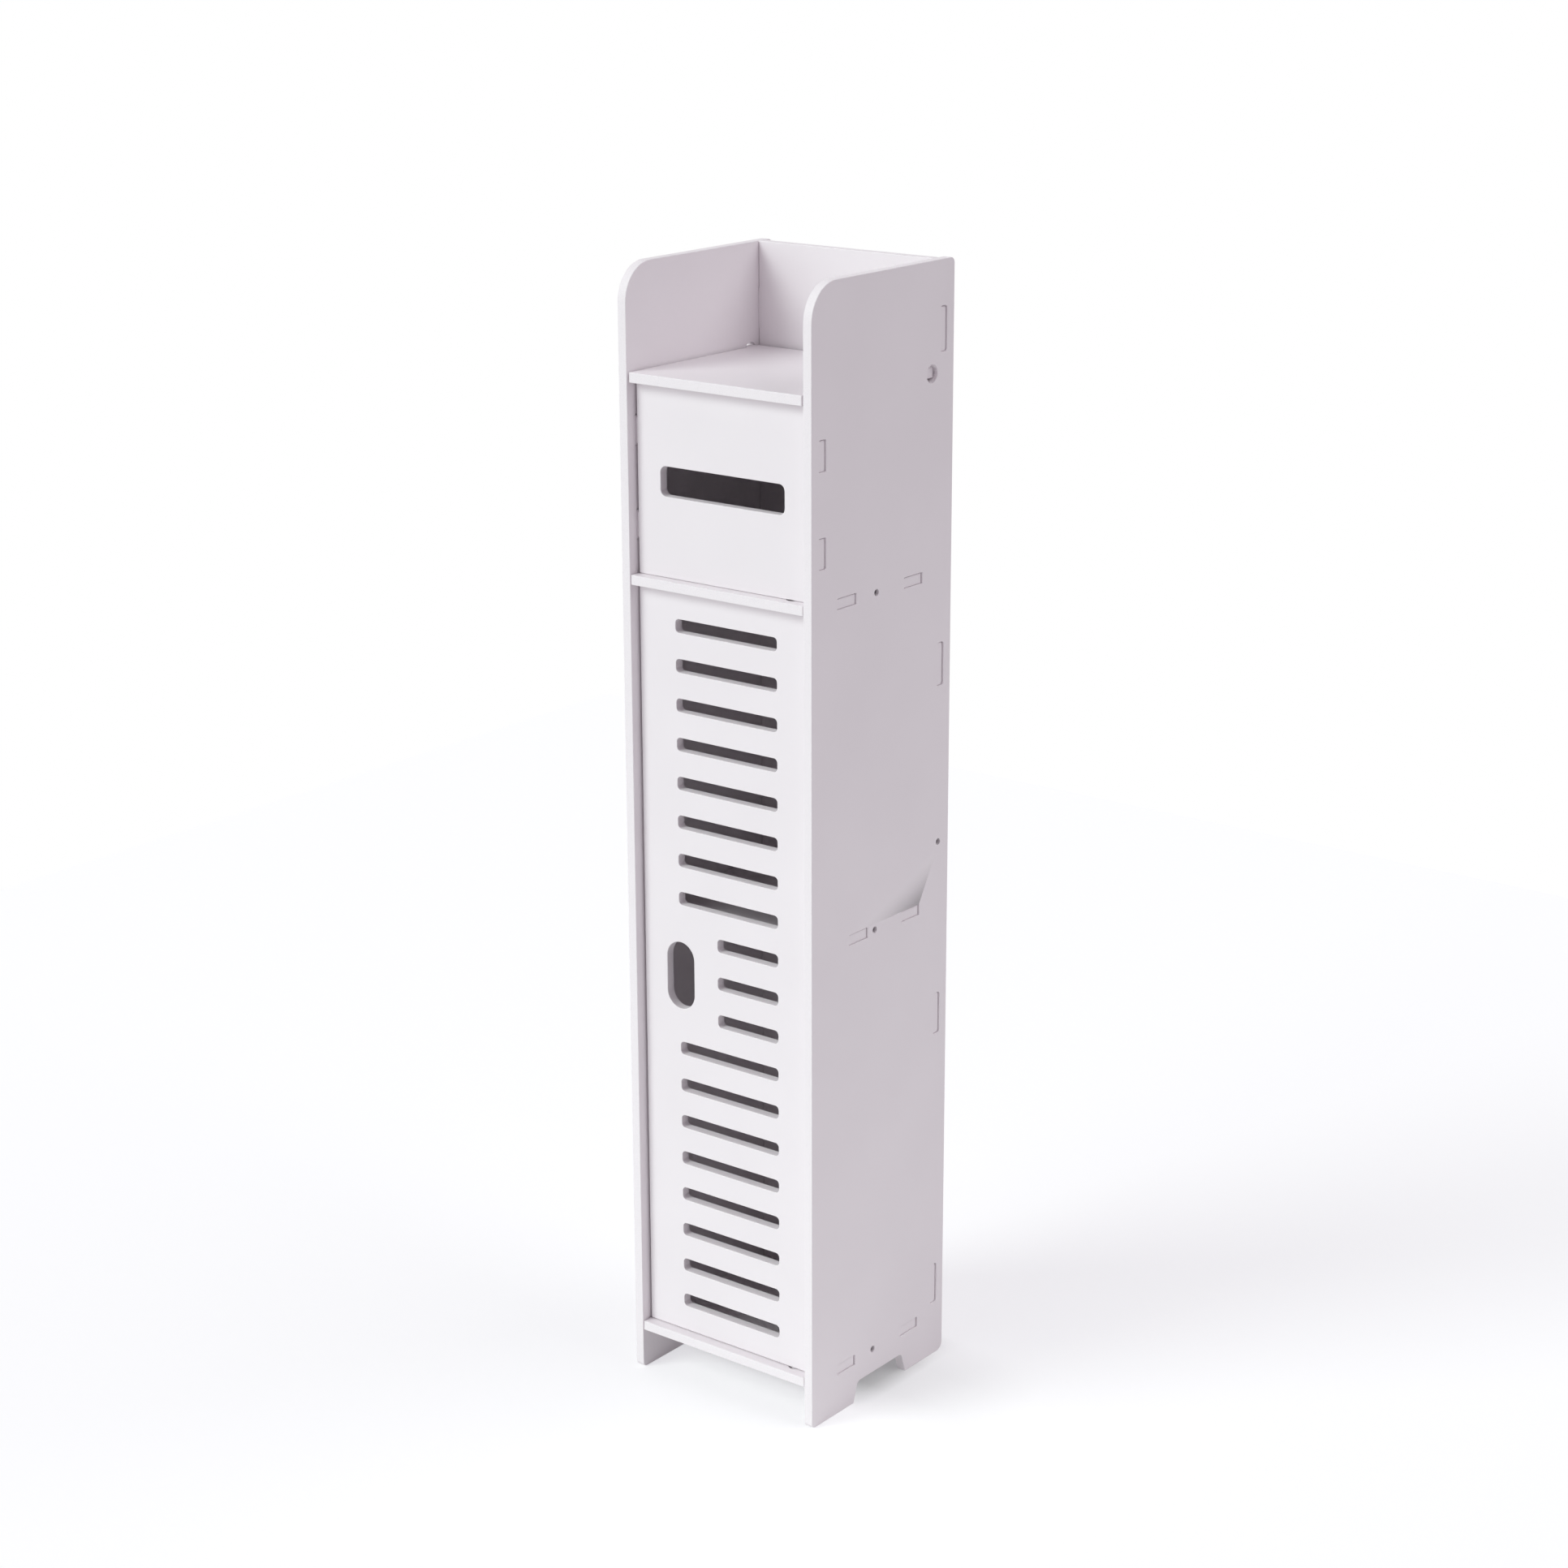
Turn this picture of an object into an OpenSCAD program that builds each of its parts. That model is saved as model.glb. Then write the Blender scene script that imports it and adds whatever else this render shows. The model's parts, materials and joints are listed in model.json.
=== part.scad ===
// Slim toilet roll storage cabinet, slotted together from routed foam board.
// A lid over the roll compartment, a paper slot in the front panel, and a louvred
// door over two storage bays. The origin is on the floor under the middle.
// +X is to the right, -Y is the front, +Z is up. All sizes are in millimetres.

/* [Overall] */
// Height of the side panels above the floor
height = 800; // [760:5:1000]
// Width over the outer faces of the side panels
width = 161; // [154:1:240]
// Depth of the side panels
depth = 157; // [148:1:240]
// Thickness of every board
board = 7; // [6:0.5:9]

/* [Side panels] */
// Radius of the large corner at the top front
top_front_radius = 26; // [10:1:60]
// Radius of the corner at the top rear
top_rear_radius = 4; // [2:0.5:6]
// Radius of the corner at the bottom front
bottom_front_radius = 4; // [2:0.5:12]
// Radius of the corner at the bottom rear
bottom_rear_radius = 6; // [2:0.5:12]
// Length of the front foot along the floor
front_foot = 48.6; // [30:0.2:55]
// Length of the rear foot along the floor
rear_foot = 46.1; // [30:0.1:55]
// Height of the notch between the feet
notch_height = 15.3; // [8:0.1:20]
// Lean of the notch's sides from upright, in degrees
notch_lean = 18; // [5:1:35]
// Radius in the notch's upper corners
notch_radius = 4; // [2:0.5:6]

/* [Shelves and bays] */
// Height of the bottom shelf's underside above the floor
leg_height = 30; // [26:1:60]
// Clear height of the lower storage bay
lower_bay = 310; // [220:5:360]
// Clear height of the roll compartment under the lid
roll_bay = 130.5; // [112:0.5:160]
// Depth of the open tray, from the lid's top to the top of the side panels
tray_depth = 71.5; // [60:0.5:110]
// Setback of the shelves' and the lid's front edges behind the side panels' front edges
edge_setback = 0.5; // [0.2:0.1:3]
// Setback of the front panel and the door behind the side panels' front edges
front_setback = 8; // [6:0.5:14]
// Distance from the back panel's rear face to the side panels' rear edges
back_setback = 8.5; // [7:0.5:14]
// Gap that lets the hinge edge of the door swing past the middle shelf
tail_clearance = 1.3; // [0.6:0.1:6]

/* [Tabs and slots] */
// How far a tab's end lies below the side panel's outer face
tab_recess = 1; // [0.3:0.1:2]
// Gap round a tab in its slot
tab_clearance = 0.15; // [0.1:0.05:0.4]
// Gap between a fixed board and the board that it seats on
seat_clearance = 0.2; // [0.1:0.05:0.4]
// Length of each shelf tab
shelf_tab = 20.4; // [14:0.2:26]
// Corner radius of the shelf tabs' ends
shelf_tab_radius = 0.5; // [0.3:0.1:1]
// Middle of the upper shelf's front tab behind the side panels' front edges
upper_tab_front = 38; // [30:0.5:46]
// Middle of the upper shelf's rear tab in front of the back panel
upper_tab_rear = 29; // [20:0.5:36]
// Middle of the middle shelf's front tab behind the side panels' front edges
middle_tab_front = 52.2; // [45:0.1:54]
// Middle of the middle shelf's rear tab in front of the back panel
middle_tab_rear = 29; // [20:0.5:36]
// Middle of the bottom shelf's front tab behind the side panels' front edges
bottom_tab_front = 39.4; // [30:0.2:46]
// Middle of the bottom shelf's rear tab in front of the back panel
bottom_tab_rear = 26.9; // [20:0.1:36]
// Height of each front panel tab
front_tab = 20.4; // [14:0.2:30]
// Distance between the middles of the front panel's two tabs on a side
front_tab_spacing = 64.2; // [44:0.2:80]
// Corner radius of the front panel tabs' ends
front_tab_radius = 1.2; // [0.5:0.1:2]
// Height of each back panel tab
back_tab = 30; // [16:0.5:40]
// Corner radius of the back panel tabs' ends
back_tab_radius = 2; // [0.5:0.1:2.5]
// Middle of the lowest back tab above the back panel's lower edge
back_tab_bottom = 26.3; // [22:0.1:60]
// Middle of the highest back tab below the back panel's upper edge
back_tab_top = 46.7; // [30:0.1:60]
// Distance between the middles of the two central back tabs
back_tab_spacing = 256; // [180:1:280]

/* [Lid] */
// Distance of the lid's pivot in front of the back panel
lid_pivot_gap = 9.3; // [8.8:0.1:14]
// Gap between the lid's rear edge and the back panel
lid_rear_gap = 2.5; // [1.5:0.1:4]
// Gap between the lid and each side panel
lid_side_gap = 1.4; // [0.5:0.1:3]
// Width of the lid's pivot tabs
lid_tab = 10; // [7:0.5:12]
// How far a lid pivot tab's end lies below the side panel's outer face
lid_tab_recess = 3; // [1:0.5:4]
// Gap between a pivot tab's corners and its round hole
pivot_clearance = 0.2; // [0.1:0.05:0.5]

/* [Front panel] */
// Gap between the front panel and each side panel
front_side_gap = 1.5; // [0.3:0.1:3]
// Width of the paper slot
paper_slot_width = 104.4; // [60:0.2:118]
// Height of the paper slot
paper_slot_height = 20.4; // [10:0.2:40]
// Corner radius of the paper slot
paper_slot_radius = 4.5; // [2:0.5:5]
// Height of the paper slot's lower edge above the upper shelf
paper_sill = 55.6; // [30:0.2:70]

/* [Door] */
// Gap between the door and each side panel
door_side_gap = 1.4; // [1:0.1:3]
// Gap between the door and the bottom shelf
door_bottom_gap = 0.5; // [0.3:0.1:3]
// Gap between the door and the upper shelf
door_top_gap = 1.2; // [0.5:0.1:3]
// Distance from the door's pivot to its hinge edge
hinge_tail = 15.3; // [8:0.1:18]
// Width of the door's pivot tabs
door_tab = 4.3; // [3:0.1:7]
// Number of louvre slots up the door
louvre_count = 19; // [9:1:24]
// Height of each louvre slot
louvre_height = 9.5; // [5:0.5:12]
// Corner radius of the louvre slots
louvre_radius = 3; // [1:0.5:4]
// Distance from the door's free edge to the louvres
louvre_free_margin = 31.1; // [20:0.1:40]
// Distance from the door's hinge edge to the louvres
louvre_hinge_margin = 26.7; // [24:0.1:40]
// Distance from the door's ends to the middle of the first and last louvres
louvre_end_margin = 23.6; // [20.6:0.2:40]
// Width of the finger hole
finger_hole_width = 24; // [18:0.5:28]
// Height of the finger hole
finger_hole_height = 49; // [40:0.5:70]
// Middle of the finger hole from the door's free edge
finger_hole_inset = 31.8; // [20:0.1:36]
// Middle of the finger hole below the door's middle
finger_hole_drop = 1.6; // [0:0.1:10]
// Board left between the finger hole and the short louvres beside it
finger_web = 21.1; // [10:0.1:26]
// Least height of board left above and below the finger hole before a louvre is shortened
finger_rail = 10; // [6:0.5:14]

/* [Assembly screws] */
// Diameter of the screws' shanks
screw_diameter = 3; // [2.5:0.1:3.5]
// Length of the screws from the top of the head to the tip
screw_length = 25; // [16:1:35]
// Diameter of the screws' heads
head_diameter = 4.4; // [4:0.1:5.6]
// Height of the screws' heads
head_height = 1.6; // [1.2:0.1:2]
// How far the head's top lies below the side panel's outer face
head_sink = 2.2; // [0.4:0.1:3]
// Gap round a shank in its hole
shank_clearance = 0.05; // [0.05:0.01:0.15]
// Gap round a head in its counterbore
head_clearance = 0.2; // [0.1:0.05:0.4]
// Height of the back panel's screw above the middle of the middle shelf
back_screw_rise = 44.3; // [30:0.1:80]

/* [Door catch] */
// Length of the catch housing between its ears
catch_width = 26; // [24:1:34]
// Depth of the catch housing
catch_depth = 12; // [11:0.5:16]
// Height of the catch housing
catch_height = 14; // [12:0.5:15]
// Middle of the catch from the left side panel
catch_inset = 24; // [22.5:0.5:34]
// Length of each fixing ear
ear_length = 9; // [7:0.5:9]
// Thickness of each fixing ear
ear_thickness = 3; // [2:0.5:3.5]
// Width of the magnet and its pole plates
magnet_width = 20; // [14:0.5:22]
// Thickness of the magnet
magnet_thickness = 5; // [3:0.5:6]
// Thickness of each pole plate
pole_thickness = 1.2; // [0.8:0.1:1.5]
// Length of the pole plates from front to rear
pole_length = 9; // [7:0.5:9]
// How far the pole plates stand out of the housing
pole_proud = 0.5; // [0.2:0.1:1]
// Gap round the magnet and pole plates in the housing
pocket_clearance = 0.1; // [0.05:0.05:0.2]
// Gap between the pole plates and the strike plate with the door shut
strike_gap = 0.3; // [0.2:0.1:0.8]
// Width of the strike plate
strike_width = 40; // [38:1:44]
// Height of the strike plate
strike_height = 10; // [8:0.5:11]
// Thickness of the strike plate
strike_thickness = 1; // [0.6:0.1:1.5]
// Distance of each strike screw from the strike plate's end
strike_screw_inset = 3.5; // [2.5:0.1:4]
// Diameter of the catch and strike screws' shanks
small_screw_diameter = 2.4; // [2:0.1:2.8]
// Depth that the catch and strike screws reach into a board
small_screw_grip = 4.5; // [3:0.1:5]
// Diameter of the catch and strike screws' heads
small_head_diameter = 4; // [3.6:0.1:4.6]
// Height of the catch and strike screws' heads
small_head_height = 1.4; // [1:0.1:1.6]

/* [Hidden] */
$fn = 64;

// How far a cutter runs past the face that it cuts
past = 1;
// How far a tab's own solid runs back into its board
tab_root = 4;
// Share of the head's diameter and height that its cross recess takes
recess_reach = 0.62;
recess_width = 0.16;
recess_depth = 0.6;
// Share of a screw's length that its point takes
point_share = 0.12;

// Colours: foam board in the light, black screws, grey steel, white and dark plastic
board_colour = [0.93, 0.91, 0.93];
door_colour = [0.95, 0.93, 0.95];
screw_colour = [0.12, 0.11, 0.12];
steel_colour = [0.72, 0.73, 0.75];
plastic_colour = [0.90, 0.90, 0.89];
magnet_colour = [0.20, 0.19, 0.19];

// Left and right: the side panels' inner faces are at -inner_x and +inner_x
outer_x = width / 2;
inner_x = outer_x - board;
shelf_x = inner_x - seat_clearance;
tab_end = outer_x - tab_recess;

// Front to rear
front_y = -depth / 2;
edge_y = front_y + edge_setback;
panel_y = front_y + front_setback;
panel_mid_y = panel_y + board / 2;
panel_rear_y = panel_y + board;
back_rear_y = depth / 2 - back_setback;
back_y = back_rear_y - board;
back_mid_y = back_y + board / 2;
shelf_rear_y = back_y - seat_clearance;
shelf_screw_y = (edge_y + back_y) / 2;

// Heights
bottom_z = leg_height;
bottom_top = bottom_z + board;
middle_z = bottom_top + lower_bay;
lid_top = height - tray_depth;
lid_z = lid_top - board;
upper_top = lid_z - roll_bay;
upper_z = upper_top - board;

// Lid
lid_pivot_y = back_y - lid_pivot_gap;
lid_pivot_z = lid_z + board / 2;
lid_hole = norm([board, lid_tab]) + 2 * pivot_clearance;

// Front panel
front_low = upper_top + seat_clearance;
front_high = lid_z - seat_clearance;
front_mid_z = (front_low + front_high) / 2;
front_tab_zs = [front_mid_z - front_tab_spacing / 2, front_mid_z + front_tab_spacing / 2];

// Back panel
back_screw_z = middle_z + board / 2 + back_screw_rise;
back_tab_zs = [bottom_z + back_tab_bottom,
               back_screw_z - back_tab_spacing / 2,
               back_screw_z + back_tab_spacing / 2,
               height - back_tab_top];

// Door
door_x = inner_x - door_side_gap;
door_low = bottom_top + door_bottom_gap;
door_high = upper_z - door_top_gap;
door_mid_z = (door_low + door_high) / 2;
pivot_x = door_x - hinge_tail;
pivot_hole = norm([board, door_tab]) + 2 * pivot_clearance;
tail_radius = norm([hinge_tail, board / 2]);
middle_edge_y = panel_mid_y + tail_radius + tail_clearance;
finger_x = -door_x + finger_hole_inset;
finger_z = door_mid_z - finger_hole_drop;
louvre_left = -door_x + louvre_free_margin;
louvre_right = door_x - louvre_hinge_margin;
short_left = finger_x + finger_hole_width / 2 + finger_web;
louvre_first = door_low + louvre_end_margin;
louvre_pitch = (door_high - door_low - 2 * louvre_end_margin) / (louvre_count - 1);
finger_reach = (finger_hole_height + louvre_height) / 2 + finger_rail;

// Tab middles from front to rear on each shelf
upper_tab_ys = [front_y + upper_tab_front, back_y - upper_tab_rear];
middle_tab_ys = [front_y + middle_tab_front, back_y - middle_tab_rear];
bottom_tab_ys = [front_y + bottom_tab_front, back_y - bottom_tab_rear];

// Catch and strike
catch_x = -inner_x + catch_inset;
catch_top = upper_z - seat_clearance;
catch_mid_z = catch_top - catch_height / 2;
strike_y = panel_rear_y + seat_clearance / 2;
pole_y = strike_y + strike_thickness + strike_gap;
catch_y = pole_y + pole_proud;
magnet_length = pole_length - pole_proud;
ear_screw_x = (catch_width + ear_length) / 2;
strike_screw_x = strike_width / 2 - strike_screw_inset;

// ---- Shapes that repeat ----

// A flat rectangle about its middle, with round corners
module rounded_rect(size, radius) {
    square([size.x - 2 * radius, size.y], center = true);
    square([size.x, size.y - 2 * radius], center = true);
    for (sx = [-1, 1], sy = [-1, 1])
        translate([sx * (size.x / 2 - radius), sy * (size.y / 2 - radius)])
            circle(radius);
}

// What a round corner takes off: the square corner outside a quarter circle.
// The corner is at the origin and the board lies towards +X and +Y.
module corner_waste(radius) {
    difference() {
        translate([-past, -past])
            square(radius + past);
        translate([radius, radius])
            circle(radius);
    }
}

// A flat shape drawn in Y and Z, raised along +X
module along_x(length) {
    rotate([90, 0, 90])
        linear_extrude(length)
            children();
}

// A flat shape drawn in X and Z, raised to one board's thickness from rear_y forwards
module upright_board(rear_y) {
    translate([0, rear_y, 0])
        rotate([90, 0, 0])
            linear_extrude(board)
                children();
}

// The same piece on the right side and, mirrored, on the left
module both_sides() {
    for (side = [0, 1])
        mirror([side, 0, 0])
            children();
}

// Tabs on both ends of a board, with their middle at y and z and their ends at end_x
module side_tabs(y, z, size, radius, end_x) {
    both_sides()
        translate([inner_x - tab_root, y, z])
            along_x(end_x - inner_x + tab_root)
                rounded_rect(size, radius);
}

// The slot in a side panel for a tab, drawn in Y and Z
module tab_slot(y, z, size, radius) {
    translate([y, z])
        rounded_rect([size.x + 2 * tab_clearance, size.y + 2 * tab_clearance], radius + tab_clearance);
}

// A screw that points down -Z, with the top of its head at the origin
module screw(diameter, length, head_d, head_h) {
    point = length * point_share;
    difference() {
        union() {
            translate([0, 0, -head_h])
                cylinder(h = head_h, d = head_d);
            translate([0, 0, point - length])
                cylinder(h = length - point, d = diameter);
            translate([0, 0, -length])
                cylinder(h = point, d1 = diameter / 4, d2 = diameter);
        }
        for (turn = [0, 90])
            rotate([0, 0, turn])
                translate([0, 0, (past - head_h * recess_depth) / 2])
                    cube([head_d * recess_reach, head_d * recess_width, head_h * recess_depth + past],
                         center = true);
    }
}

// ---- Where the assembly screws go ----

// A screw through the right side panel
module side_screw(y, z) {
    translate([outer_x - head_sink, y, z])
        rotate([0, 90, 0])
            screw(screw_diameter, screw_length, head_diameter, head_height);
}

// Its hole through the side panel, with a counterbore for the head
module side_screw_hole(y, z) {
    seat = head_sink + head_height;
    translate([inner_x - past, y, z])
        rotate([0, 90, 0])
            cylinder(h = board + 2 * past, d = screw_diameter + 2 * shank_clearance);
    translate([outer_x - seat, y, z])
        rotate([0, 90, 0])
            cylinder(h = seat + past, d = head_diameter + 2 * head_clearance);
}

// Its pilot hole in the end of a board, on both sides
module pilot_holes(y, z) {
    pilot_end = outer_x - head_sink - screw_length - past;
    both_sides()
        translate([pilot_end, y, z])
            rotate([0, 90, 0])
                cylinder(h = inner_x - pilot_end, d = screw_diameter + 2 * shank_clearance);
}

// ---- Side panels ----

// The opening between the feet: leaning sides that run into round upper corners
module foot_notch() {
    notch_front = front_y + front_foot;
    notch_rear = depth / 2 - rear_foot;
    arc_z = notch_height - notch_radius;
    // The arc's middle lies one radius from the leaning side
    arc_in = arc_z * tan(notch_lean) + notch_radius / cos(notch_lean);
    touch = notch_radius * [cos(notch_lean), sin(notch_lean)];
    polygon([[notch_front - past * tan(notch_lean), -past],
             [notch_front + arc_in - touch.x, arc_z + touch.y],
             [notch_front + arc_in, notch_height],
             [notch_rear - arc_in, notch_height],
             [notch_rear - arc_in + touch.x, arc_z + touch.y],
             [notch_rear + past * tan(notch_lean), -past]]);
    for (y = [notch_front + arc_in, notch_rear - arc_in])
        translate([y, arc_z])
            circle(notch_radius);
}

module shelf_tab_slots(ys, z) {
    for (y = ys)
        tab_slot(y, z + board / 2, [shelf_tab, board], shelf_tab_radius);
}

module side_outline() {
    difference() {
        translate([front_y, 0])
            square([depth, height]);
        translate([front_y, 0])
            corner_waste(bottom_front_radius);
        translate([-front_y, 0])
            mirror([1, 0])
                corner_waste(bottom_rear_radius);
        translate([front_y, height])
            mirror([0, 1])
                corner_waste(top_front_radius);
        translate([-front_y, height])
            rotate(180)
                corner_waste(top_rear_radius);
        foot_notch();
        shelf_tab_slots(upper_tab_ys, upper_z);
        shelf_tab_slots(middle_tab_ys, middle_z);
        shelf_tab_slots(bottom_tab_ys, bottom_z);
        for (z = front_tab_zs)
            tab_slot(panel_mid_y, z, [board, front_tab], front_tab_radius);
        for (z = back_tab_zs)
            tab_slot(back_mid_y, z, [board, back_tab], back_tab_radius);
        translate([lid_pivot_y, lid_pivot_z])
            circle(d = lid_hole);
    }
}

module right_panel() {
    difference() {
        translate([inner_x, 0, 0])
            along_x(board)
                side_outline();
        for (z = [upper_z, middle_z, bottom_z])
            side_screw_hole(shelf_screw_y, z + board / 2);
        side_screw_hole(back_mid_y, back_screw_z);
    }
}

module side_panel_right() {
    color(board_colour)
        right_panel();
}

module side_panel_left() {
    color(board_colour)
        mirror([1, 0, 0])
            right_panel();
}

// ---- Shelves ----

// A shelf between the side panels, from front_edge back to the back panel
module shelf(front_edge, z, tab_ys) {
    difference() {
        union() {
            translate([-shelf_x, front_edge, z])
                cube([2 * shelf_x, shelf_rear_y - front_edge, board]);
            for (y = tab_ys)
                side_tabs(y, z + board / 2, [shelf_tab, board], shelf_tab_radius, tab_end);
        }
        pilot_holes(shelf_screw_y, z + board / 2);
    }
}

// The round hole in a shelf that a pivot tab of the door turns in
module door_pivot_hole(z) {
    translate([pivot_x, panel_mid_y, z - past])
        cylinder(h = board + 2 * past, d = pivot_hole);
}

// Blind holes in the upper shelf for the catch's two screws
module catch_screw_holes() {
    for (side = [-1, 1])
        translate([catch_x + side * ear_screw_x, catch_y + catch_depth / 2, upper_z - past])
            cylinder(h = past + small_screw_grip + 2 * shank_clearance,
                     d = small_screw_diameter + 2 * shank_clearance);
}

module upper_shelf() {
    color(board_colour)
        difference() {
            shelf(edge_y, upper_z, upper_tab_ys);
            door_pivot_hole(upper_z);
            catch_screw_holes();
        }
}

module middle_shelf() {
    color(board_colour)
        shelf(middle_edge_y, middle_z, middle_tab_ys);
}

module bottom_shelf() {
    color(board_colour)
        difference() {
            shelf(edge_y, bottom_z, bottom_tab_ys);
            door_pivot_hole(bottom_z);
        }
}

// ---- Panels ----

module back_panel() {
    color(board_colour)
        difference() {
            union() {
                upright_board(back_rear_y)
                    translate([-shelf_x, bottom_z])
                        square([2 * shelf_x, height - bottom_z]);
                for (z = back_tab_zs)
                    side_tabs(back_mid_y, z, [board, back_tab], back_tab_radius, tab_end);
            }
            pilot_holes(back_mid_y, back_screw_z);
        }
}

module front_panel() {
    half = inner_x - front_side_gap;
    color(door_colour) {
        upright_board(panel_rear_y)
            difference() {
                translate([-half, front_low])
                    square([2 * half, front_high - front_low]);
                translate([0, upper_top + paper_sill + paper_slot_height / 2])
                    rounded_rect([paper_slot_width, paper_slot_height], paper_slot_radius);
            }
        for (z = front_tab_zs)
            side_tabs(panel_mid_y, z, [board, front_tab], front_tab_radius, tab_end);
    }
}

// ---- Lid ----

module lid() {
    half = inner_x - lid_side_gap;
    color(board_colour) {
        translate([-half, edge_y, lid_z])
            cube([2 * half, back_y - lid_rear_gap - edge_y, board]);
        side_tabs(lid_pivot_y, lid_pivot_z, [lid_tab, board], shelf_tab_radius,
                  outer_x - lid_tab_recess);
    }
}

// ---- Door ----

// One louvre slot from left to right, with its middle at height z
module louvre(left, right, z) {
    translate([(left + right) / 2, z])
        rounded_rect([right - left, louvre_height], louvre_radius);
}

module finger_hole() {
    straight = finger_hole_height - finger_hole_width;
    translate([finger_x, finger_z]) {
        square([finger_hole_width, straight], center = true);
        for (end = [-1, 1])
            translate([0, end * straight / 2])
                circle(d = finger_hole_width);
    }
}

// A pivot tab on the door's middle plane, between two heights
module door_pivot_tab(low, high) {
    translate([pivot_x, panel_mid_y, low])
        linear_extrude(high - low)
            rounded_rect([door_tab, board], shelf_tab_radius);
}

// Blind holes in the door's inner face for the strike plate's screws
module strike_screw_holes() {
    for (side = [-1, 1])
        translate([catch_x + side * strike_screw_x, panel_rear_y + past, catch_mid_z])
            rotate([90, 0, 0])
                cylinder(h = past + small_screw_grip + 2 * shank_clearance,
                         d = small_screw_diameter + 2 * shank_clearance);
}

module door() {
    color(door_colour)
        difference() {
            union() {
                upright_board(panel_rear_y)
                    difference() {
                        translate([-door_x, door_low])
                            square([2 * door_x, door_high - door_low]);
                        finger_hole();
                        for (i = [0 : louvre_count - 1]) {
                            z = louvre_first + i * louvre_pitch;
                            louvre(abs(z - finger_z) < finger_reach ? short_left : louvre_left,
                                   louvre_right, z);
                        }
                    }
                door_pivot_tab(bottom_z + tab_recess, door_low + tab_root);
                door_pivot_tab(door_high - tab_root, upper_top - tab_recess);
            }
            strike_screw_holes();
        }
}

// ---- Assembly screws ----

module right_screw(y, z) {
    color(screw_colour)
        side_screw(y, z);
}

module left_screw(y, z) {
    color(screw_colour)
        mirror([1, 0, 0])
            side_screw(y, z);
}

// ---- Door catch ----

// A plate as wide as the magnet, between two heights, that starts at start_y
module magnet_layer(start_y, length, low, high) {
    translate([catch_x - magnet_width / 2, start_y, low])
        cube([magnet_width, length, high - low]);
}

module catch_housing() {
    pocket = [magnet_width + 2 * pocket_clearance,
              magnet_length + pocket_clearance + past,
              magnet_thickness + 2 * pole_thickness + 4 * pocket_clearance];
    color(plastic_colour)
        difference() {
            union() {
                translate([catch_x - catch_width / 2, catch_y, catch_top - catch_height])
                    cube([catch_width, catch_depth, catch_height]);
                translate([catch_x - catch_width / 2 - ear_length, catch_y, catch_top - ear_thickness])
                    cube([catch_width + 2 * ear_length, catch_depth, ear_thickness]);
            }
            translate([catch_x - pocket.x / 2, catch_y - past, catch_mid_z - pocket.z / 2])
                cube(pocket);
            for (side = [-1, 1])
                translate([catch_x + side * ear_screw_x, catch_y + catch_depth / 2,
                           catch_top - ear_thickness - past])
                    cylinder(h = ear_thickness + 2 * past, d = small_screw_diameter + 2 * shank_clearance);
        }
}

module catch_magnet() {
    color(magnet_colour)
        magnet_layer(catch_y, magnet_length,
                     catch_mid_z - magnet_thickness / 2, catch_mid_z + magnet_thickness / 2);
}

module catch_pole_upper() {
    low = catch_mid_z + magnet_thickness / 2 + pocket_clearance;
    color(steel_colour)
        magnet_layer(pole_y, pole_length, low, low + pole_thickness);
}

module catch_pole_lower() {
    high = catch_mid_z - magnet_thickness / 2 - pocket_clearance;
    color(steel_colour)
        magnet_layer(pole_y, pole_length, high - pole_thickness, high);
}

module catch_screws() {
    color(steel_colour)
        for (side = [-1, 1])
            translate([catch_x + side * ear_screw_x, catch_y + catch_depth / 2,
                       catch_top - ear_thickness - small_head_height])
                rotate([180, 0, 0])
                    screw(small_screw_diameter,
                          small_head_height + ear_thickness + seat_clearance + small_screw_grip,
                          small_head_diameter, small_head_height);
}

module strike_plate() {
    color(steel_colour)
        difference() {
            translate([catch_x - strike_width / 2, strike_y, catch_mid_z - strike_height / 2])
                cube([strike_width, strike_thickness, strike_height]);
            for (side = [-1, 1])
                translate([catch_x + side * strike_screw_x, strike_y + strike_thickness + past, catch_mid_z])
                    rotate([90, 0, 0])
                        cylinder(h = strike_thickness + 2 * past,
                                 d = small_screw_diameter + 2 * shank_clearance);
        }
}

module strike_screws() {
    color(steel_colour)
        for (side = [-1, 1])
            translate([catch_x + side * strike_screw_x,
                       strike_y + strike_thickness + small_head_height, catch_mid_z])
                rotate([-90, 0, 0])
                    screw(small_screw_diameter,
                          small_head_height + strike_thickness + strike_y - panel_rear_y + small_screw_grip,
                          small_head_diameter, small_head_height);
}

side_panel_left();
side_panel_right();
back_panel();
front_panel();
lid();
upper_shelf();
middle_shelf();
bottom_shelf();
door();
left_screw(shelf_screw_y, upper_z + board / 2);  // upper_screw_left
right_screw(shelf_screw_y, upper_z + board / 2);  // upper_screw_right
left_screw(shelf_screw_y, middle_z + board / 2);  // middle_screw_left
right_screw(shelf_screw_y, middle_z + board / 2);  // middle_screw_right
left_screw(shelf_screw_y, bottom_z + board / 2);  // bottom_screw_left
right_screw(shelf_screw_y, bottom_z + board / 2);  // bottom_screw_right
left_screw(back_mid_y, back_screw_z);  // back_screw_left
right_screw(back_mid_y, back_screw_z);  // back_screw_right
catch_housing();
catch_magnet();
catch_pole_upper();
catch_pole_lower();
catch_screws();
strike_plate();
strike_screws();
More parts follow.
